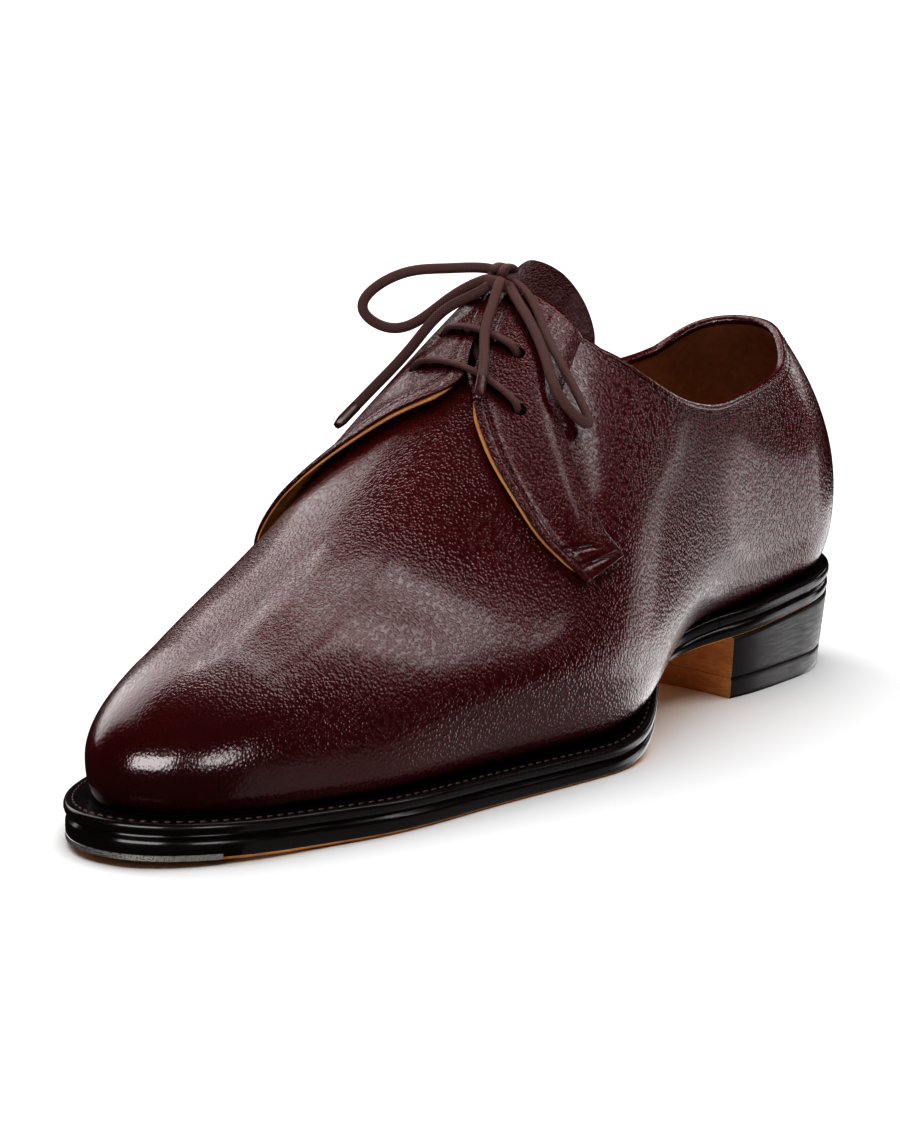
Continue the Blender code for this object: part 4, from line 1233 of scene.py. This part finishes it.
class SHOE_OT_facings(ShoePiece):
    """Eyelet facings with lifted front edges, their tan lining and their seams"""
    bl_idname = "shoe.facings"
    bl_label = "Facings"

    LONG = 170
    WIDE = 84

    # How far the free front edge of each facing stands off the upper
    STAND = {OUT: 1.1, IN: 2.4}

    # Seam lines on a facing: start and end as u along it and v across it
    SEAMS = (
        ((0.02, 0.085), (0.97, 0.115)),
        ((0.02, 0.94), (0.97, 0.94)),
        ((0.955, 0.13), (0.955, 0.93)),
        ((0.94, 0.13), (0.94, 0.93)),
        ((0.885, 0.13), (0.885, 0.60)),
        ((0.87, 0.13), (0.87, 0.60)),
    )
    # Furrows under the cross seams: u, and v where they have faded out
    CROSS_FURROWS = ((0.955, 0.97), (0.94, 0.97), (0.885, 0.62), (0.87, 0.62))
    CROSS_START = (0.09, 0.04)
    CROSS_FADE = 0.06
    CROSS_WIDTH = 0.0055
    CROSS_DEPTH = 0.3
    FRONT_LINE = (0.085, 0.03)
    FRONT_WIDTH = 0.017
    FRONT_DEPTH = 0.36
    ROW_POINTS = 160

    # Ramps along u or v as start and span: where the front edge comes free and lies down again, where the leather
    # is thinned at the rear and at the squared end, and where the lining shows
    FREE, LAID = (0.2, 0.25), (0.8, 0.2)
    THINNED, THIN_END = (0.5, 0.5), (0.8, 0.12)
    SHOWN, HIDDEN = (0.36, 0.1), (0.965, -0.04)
    LAID_LOSS = 0.7
    FREE_REACH = 0.16
    THIN_EDGE = 0.3
    THIN_LOSS = 0.6
    LINING_WIDTH = 0.5
    LINING_INSET = 0.03
    LINING_SHOW = 0.058
    LINING_HOLE = 0.8
    CROWDING = 1.5

    def strip(self, side):
        """A function for station and girth on a facing at u along it and v across it."""
        rows = np.array(FACING_ROWS[side])
        index = np.arange(len(rows))
        curves = [spline(index, rows[:, k]) for k in range(4)]

        def at(u, v):
            front_s, front_g, rear_s, rear_g = (curve(u * index[-1]) for curve in curves)
            return blend(front_s, rear_s, v), blend(front_g, rear_g, v)

        return at

    def lift(self, side, u, v):
        """Height of a facing off the upper: its front edge is free below the holes."""
        free = ramp(u, *self.FREE) * (1 - ramp(u, *self.LAID) * self.LAID_LOSS)
        return self.STAND[side] * free * np.exp(-(v / self.FREE_REACH) ** 2)

    def furrow(self, u, v):
        """Depth of the furrows that the seams press into a facing."""
        start, slope = self.FRONT_LINE
        front = np.exp(-((v - start - slope * u) / self.FRONT_WIDTH) ** 2)
        ends = sum(np.exp(-((u - line) / self.CROSS_WIDTH) ** 2) * ramp(v, reach, -self.CROSS_FADE)
                   for line, reach in self.CROSS_FURROWS)
        return self.FRONT_DEPTH * front + self.CROSS_DEPTH * ends * ramp(v, *self.CROSS_START)

    def build(self, size, colour):
        leather = grained_leather("facing_grain", colour["facing"], colour["upper_deep"], polish=False,
                                  grain=1.25, gloss=0.42, tab=True)
        lining = plain_leather("facing_lining", colour["natural"], colour["natural_deep"])
        seam = thread("facing_thread", colour["seam"])
        for side, name in ((OUT, "facing_outer"), (IN, "facing_inner")):
            at = self.strip(side)
            top = GAP + size["lining"] + size["facing"]

            def surface(u, v, top=top, at=at, side=side):
                station, length = at(u, v)
                end = 1 - self.THIN_LOSS * ramp(u, *self.THIN_END)
                thin = (top - self.THIN_EDGE) * ramp(v, *self.THINNED) ** 2 * end
                height = top - thin - self.furrow(u, v) + self.lift(side, u, v)
                return at_girth(side, station, length, height)

            def under(u, v, at=at, side=side):
                shown = ramp(u, *self.SHOWN) * ramp(u, *self.HIDDEN)
                v = v * self.LINING_WIDTH
                station, length = at(u, v + self.LINING_INSET - self.LINING_SHOW * shown)
                return at_girth(side, station, length, GAP + size["lining"] + self.lift(side, u, v))

            sheet = grid(self.LONG, self.WIDE, lambda u, v, surface=surface: surface(u, v ** self.CROWDING))
            backing = grid(self.LONG // 2, self.WIDE // 4, under)
            for bm in (sheet, backing):
                merge(bm, closed=False)
                if side == IN:
                    bmesh.ops.reverse_faces(bm, faces=bm.faces)
            facing = piece(sheet, name, [leather], [name], 50)
            thicken(facing, size["facing"])
            drill(facing, side, size["eyelet"])
            tan = piece(backing, name + "_lining", [lining], sharp=50)
            thicken(tan, size["lining"])
            drill(tan, side, size["eyelet"] + self.LINING_HOLE)
            rows = [self.row(side, surface, at, *line) for line in self.SEAMS]
            threads = [stitches(path, ups, size["seam_pitch"], SEAM_THREAD) for path, ups in rows]
            piece(join(threads), name + "_stitches", [seam])

    def row(self, side, surface, at, start, end):
        """Points and normals of a seam line on a facing."""
        u, v = (blend(one, two, np.linspace(0, 1, self.ROW_POINTS)) for one, two in zip(start, end))
        return surface(u, v), up_at(side, *at(u, v))


class SHOE_OT_tongue(ShoePiece):
    """Tongue under the throat, rounded above the collar"""
    bl_idname = "shoe.tongue"
    bl_label = "Tongue"

    LONG = 90
    WIDE = 48
    ROUND = 0.6
    ROUND_ANGLE = 60

    def build(self, size, colour):
        rows = np.array(TONGUE_ROWS)
        index = np.arange(len(rows))
        station, outer, inner = (spline(index, rows[:, k]) for k in range(3))

        def place(u, v):
            t = u * index[-1]
            length = outer(t) - (outer(t) + inner(t)) * v
            return at_girth(OUT, station(t), length, np.full(len(u), -size["wall"] - TONGUE_GAP))

        bm = grid(self.LONG, self.WIDE, place)
        merge(bm, closed=False)
        # The tongue's darker colour is painted shade.
        leather = grained_leather("tongue_grain", colour["tongue"], colour["upper_deep"], polish=False, gloss=0.1)
        lining = plain_leather("tongue_lining", colour["lining"], colour["lining_deep"])
        tongue = piece(bm, "tongue", [leather, lining], ["tongue"], 50)
        thicken(tongue, size["tongue"], lining=1)
        bevel = tongue.modifiers.new("round", "BEVEL")
        bevel.width = self.ROUND * MM
        bevel.segments = 2
        bevel.limit_method = "ANGLE"
        bevel.angle_limit = math.radians(self.ROUND_ANGLE)


class SHOE_OT_welt(ShoePiece):
    """Stitched welt round the forepart and rand round the heel seat"""
    bl_idname = "shoe.welt"
    bl_label = "Welt"

    # Closed profile: share from the inner to the outer line, share of the height
    PROFILE = ((0.0, 0.0), (0.0, 1.0), (0.45, 1.0), (0.62, 0.97), (0.74, 1.0), (0.86, 1.0), (0.93, 0.98),
               (0.975, 0.88), (1.0, 0.66), (1.0, 0.4), (0.975, 0.16), (0.93, 0.0))
    SEAM_INSET = 2.6
    SIDE_POINTS = 190
    TOE_POINTS = 80
    SEAT_POINTS = 40
    HEEL_POINTS = 60

    def build(self, size, colour):
        black = edge_polish("welt_wax", colour["edge"], 0.24)
        sides = q_of(np.linspace(RAND_FRONT + GAP, TOE_CENTRE, self.SIDE_POINTS))
        forepart = round_places(sides, 1 - end_shares(self.TOE_POINTS))
        sides = q_of(np.linspace(RAND_FRONT, HEEL_CENTRE, self.SEAT_POINTS))
        seat = round_places(sides, 2 + end_shares(self.HEEL_POINTS))
        for name, places in (("welt", forepart), ("heel_rand", seat)):
            band = strip_ring(places, ("feather", -MARGIN), ("edge", 0.0), lambda s: sole_top(s) + WELT_CLEAR,
                              self.high, self.PROFILE)
            piece(band, name, [black], [name], 60)
        x, station = outline("edge", *np.array(forepart, float).T, -self.SEAM_INSET)
        path = np.stack([x, station, self.high(station) + STITCH_LIFT], -1)
        row = stitches(path, np.tile(UP, (len(path), 1)), size["welt_pitch"], WELT_THREAD)
        piece(row, "welt_stitches", [thread("welt_thread", colour["welt_seam"])])

    @staticmethod
    def high(station):
        """Upper face of the welt."""
        return sole_top(station) + GAP + WELT


class SHOE_OT_sole(ShoePiece):
    """Leather sole with its waxed edge, the toe plate let into it and the footbed inside"""
    bl_idname = "shoe.sole"
    bl_label = "Sole"

    # Edge from the tread up: growth past the outline, share of the sole's thickness
    EDGE = ((-0.95, 0.0), (-0.2, 0.13), (-0.05, 0.2), (0.1, 0.42), (0.05, 0.66), (-0.25, 0.82), (-0.95, 0.9),
            (-1.1, 1.0))
    BED_EDGE = ((0.0, 0.0), (0.0, 0.9), (-0.4, 1.0))
    TAP = ((0.0, 0.0), (0.0, 1.0), (0.96, 1.0), (1.0, 0.86), (1.0, 0.14), (0.97, 0.0))
    BOTTOM = 18
    TOP = 4
    TOE_POINTS = 60
    SIDE_POINTS = 170
    HEEL_POINTS = 50
    # Faces that show undyed leather: how far they look down, and how low on the edge they lie
    TREAD_LOOK = -0.55
    TREAD_SHARE = 0.12

    def build(self, size, colour):
        black = edge_polish("sole_wax", colour["edge"], 0.2)
        natural = plain_leather("sole_natural", colour["natural"], colour["natural_deep"], 0.5, 300.0)
        bm = self.plate("edge", -SOLE_STEP, self.EDGE, self.tread, sole_top)
        for face in bm.faces:
            middle = face.calc_center_median()
            station = ORIGIN_S - middle.y / MM
            thickness = sole_top(station) - tread_z(station)
            lowest = (middle.z / MM - tread_z(station)) / thickness
            face.material_index = 1 if face.normal.z < self.TREAD_LOOK or lowest < self.TREAD_SHARE else 0
        piece(bm, "outsole", [black, natural], ["outsole"], 45)
        steel = brushed_metal("toe_steel", colour["metal"])
        places = round_places([PLATE_REACH], PLATE_REACH * (1 - end_shares(self.TOE_POINTS)))
        tap = strip_ring(places, ("edge", -PLATE_DEPTH), ("edge", TAP_PROUD - SOLE_STEP), tread_z,
                         lambda s: tread_z(s) + PLATE_THICK, self.TAP)
        piece(tap, "toe_plate", [steel], ["toe_plate"], 40)
        bed = plain_leather("footbed_leather", colour["lining"], colour["lining_deep"], 0.55, 260.0)
        bm = self.plate("feather", -MARGIN - GAP, self.BED_EDGE, lambda s, k: sole_top(s) + GAP,
                        lambda s: feather_z(s) + INSOLE_RISE)
        piece(bm, "insole", [bed], ["insole"], 45)

    @staticmethod
    def tread(station, share):
        """Lower face of the sole, rounded up to its edges through the waist."""
        t = ramp(station, BREAST, WAIST_FRONT - BREAST)
        return tread_z(station) + WAIST_ROUND * np.sin(math.pi * t) ** 2 * np.abs(share) ** 3

    def plate(self, layer, grow, edge, low, high):
        """A bmesh plate inside an outline: bottom, shaped edges and top."""
        ring = [(share, edge[0][0], 0.0) for share in np.linspace(-1, 1, self.BOTTOM)]
        ring += [(1.0, *step) for step in edge[1:]]
        ring += [(share, edge[-1][0], 1.0) for share in np.linspace(1, -1, self.TOP)[1:]]
        ring += [(-1.0, *step) for step in edge[-2:0:-1]]
        shares, grows, heights = np.array([*ring, ring[0]]).T
        qs = np.concatenate([np.arange(self.TOE_POINTS) / self.TOE_POINTS, np.linspace(1, 2, self.SIDE_POINTS),
                             2 + end_shares(self.HEEL_POINTS)])

        def place(u, v):
            q = qs[nth(u, len(qs) - 1)]
            k = nth(v, len(shares) - 1)
            out_x, station = outline(layer, OUT, q, grow + grows[k])
            in_x, _ = outline(layer, IN, q, grow + grows[k])
            x = (out_x + in_x) / 2 + (out_x - in_x) / 2 * shares[k]
            bottom = low(station, shares[k])
            return np.stack([x, station, blend(bottom, high(station), heights[k])], -1)

        bm = grid(len(qs) - 1, len(shares) - 1, place)
        merge(bm)
        return bm


class SHOE_OT_heel(ShoePiece):
    """Stacked heel with its natural breast, top piece and rubber tip"""
    bl_idname = "shoe.heel"
    bl_label = "Heel"

    LIFTS = 3
    LIFT_GROOVE = 0.03
    GROOVE_REACH = 0.03
    ROLL = 0.35
    BOW_POINTS = 24
    SIDE_POINTS = 30
    BACK_POINTS = 60
    TIP_POINTS = 40
    STACK_ROWS = 24
    LIFT_ROWS = 8
    # How far the breast's faces look forward and the underside's down
    BREAST_LOOK = -0.8
    UNDER_LOOK = -0.9

    def build(self, size, colour):
        black = edge_polish("heel_wax", colour["edge"], 0.38)
        natural = plain_leather("heel_natural", colour["natural"], colour["natural_deep"], 0.5, 300.0, (1.0, 1.0, 6.0))
        rubber = moulded_rubber("tip_rubber_skin", colour["rubber"])
        whole = round_places(q_of(np.linspace(BREAST, HEEL_CENTRE, self.SIDE_POINTS)),
                             2 + end_shares(self.BACK_POINTS))
        tip_q = 2 + 2 / math.pi * math.asin((HEEL_CENTRE - TIP_STATION) / (HEEL_CENTRE - HEEL_END["edge"]))
        back = round_places([tip_q], tip_q + (3 - tip_q) * np.arange(1, self.TIP_POINTS + 1) / self.TIP_POINTS)
        floor = np.zeros_like

        def lift(s):
            return np.full_like(s, TOP_PIECE)

        stack = self.block(whole, lambda s: lift(s) + LIFT_CLEAR, lambda s: tread_z(s) - SEAT_CLEAR, True,
                           self.STACK_ROWS, BREAST_HOLLOW)
        top = self.block(whole, floor, lift, False, self.LIFT_ROWS, BREAST_HOLLOW, TIP_STATION + TIP_CLEAR)
        for name, bm in (("heel_stack", stack), ("heel_top_piece", top)):
            self.paint(bm)
            piece(bm, name, [black, natural], [name], 40)
        tip = self.block(back, floor, lift, False, self.LIFT_ROWS, 0.0)
        piece(tip, "heel_rubber_tip", [rubber], ["heel_rubber_tip"], 40)

    def block(self, places, low, high, grooved, rows, hollow, back=None):
        """A bmesh body between two heights; its front is bowed in by hollow and its back may be cut straight."""
        sides, qs = np.array(places, float).T
        first_x = outline("edge", OUT, qs[0], -SOLE_STEP)[0]
        bow = np.linspace(0, 1, self.BOW_POINTS + 2)[1:-1]
        count = len(qs) + len(bow)

        def place(u, v):
            i = nth(u, count) % count
            ring = np.minimum(i, len(qs) - 1)
            x, station = outline("edge", sides[ring], qs[ring], -SOLE_STEP)
            z = blend(low(station), high(station), v)
            drop = 1 - z / tread_z(station)
            rolled = np.where((v == 0) | (v == 1), self.ROLL, 0.0)
            far_x = first_x - (HEEL_TAPER * drop + rolled)
            if grooved:
                seam = np.abs(v * self.LIFTS - np.rint(v * self.LIFTS)) < self.GROOVE_REACH
                rolled = rolled + self.LIFT_GROOVE * seam
            station = station + HEEL_PITCH * drop * np.maximum(0.0, 1 - station / BREAST)
            x = x - sides[ring] * (HEEL_TAPER * drop + rolled)
            if back is not None:
                station = np.maximum(station, back)
            on_bow = i >= len(qs)
            t = np.where(on_bow, bow[np.clip(i - len(qs), 0, len(bow) - 1)], 0.0)
            x = np.where(on_bow, blend(x, far_x, t), x)
            station = np.where(on_bow, station - hollow * np.sin(math.pi * t), station)
            z = np.where(on_bow, blend(low(station), high(station), v), z)
            return np.stack([x, station, z], -1)

        bm = grid(count, rows, place)
        close_ends(bm, triangles=True)
        return bm

    def paint(self, bm):
        """Leaves the breast and the underside in natural leather."""
        for face in bm.faces:
            bare = face.normal.y < self.BREAST_LOOK or face.normal.z < self.UNDER_LOOK
            face.material_index = int(bare)


class SHOE_PT_panel(bpy.types.Panel):
    """Sidebar list of the shoe's pieces and values"""
    bl_label = "Derby Shoe"
    bl_idname = "SHOE_PT_panel"
    bl_space_type = "VIEW_3D"
    bl_region_type = "UI"
    bl_category = "Shoe"

    def draw(self, context):
        for operator in OPERATORS:
            self.layout.operator(operator.bl_idname)
        for group in (context.scene.shoe_sizes, context.scene.shoe_colours):
            box = self.layout.box()
            for key in group.__annotations__:
                box.prop(group, key)


OPERATORS = (SHOE_OT_stage, SHOE_OT_laces, SHOE_OT_upper, SHOE_OT_facings, SHOE_OT_tongue, SHOE_OT_welt,
             SHOE_OT_sole, SHOE_OT_heel)
CLASSES = (ShoeSizes, ShoeColours, *OPERATORS, SHOE_PT_panel)


def register():
    """Adds the classes and the scene's values."""
    for kind in CLASSES:
        bpy.utils.register_class(kind)
    bpy.types.Scene.shoe_sizes = PointerProperty(type=ShoeSizes)
    bpy.types.Scene.shoe_colours = PointerProperty(type=ShoeColours)


def unregister():
    """Takes the classes and the scene's values away."""
    del bpy.types.Scene.shoe_colours
    del bpy.types.Scene.shoe_sizes
    for kind in reversed(CLASSES):
        bpy.utils.unregister_class(kind)


def main():
    """Builds the dressed shoe."""
    register()
    bpy.ops.shoe.stage()
    bpy.ops.shoe.laces()
    bpy.ops.shoe.upper()
    bpy.ops.shoe.facings()
    bpy.ops.shoe.tongue()
    bpy.ops.shoe.welt()
    bpy.ops.shoe.sole()
    bpy.ops.shoe.heel()


if __name__ == "__main__":
    main()
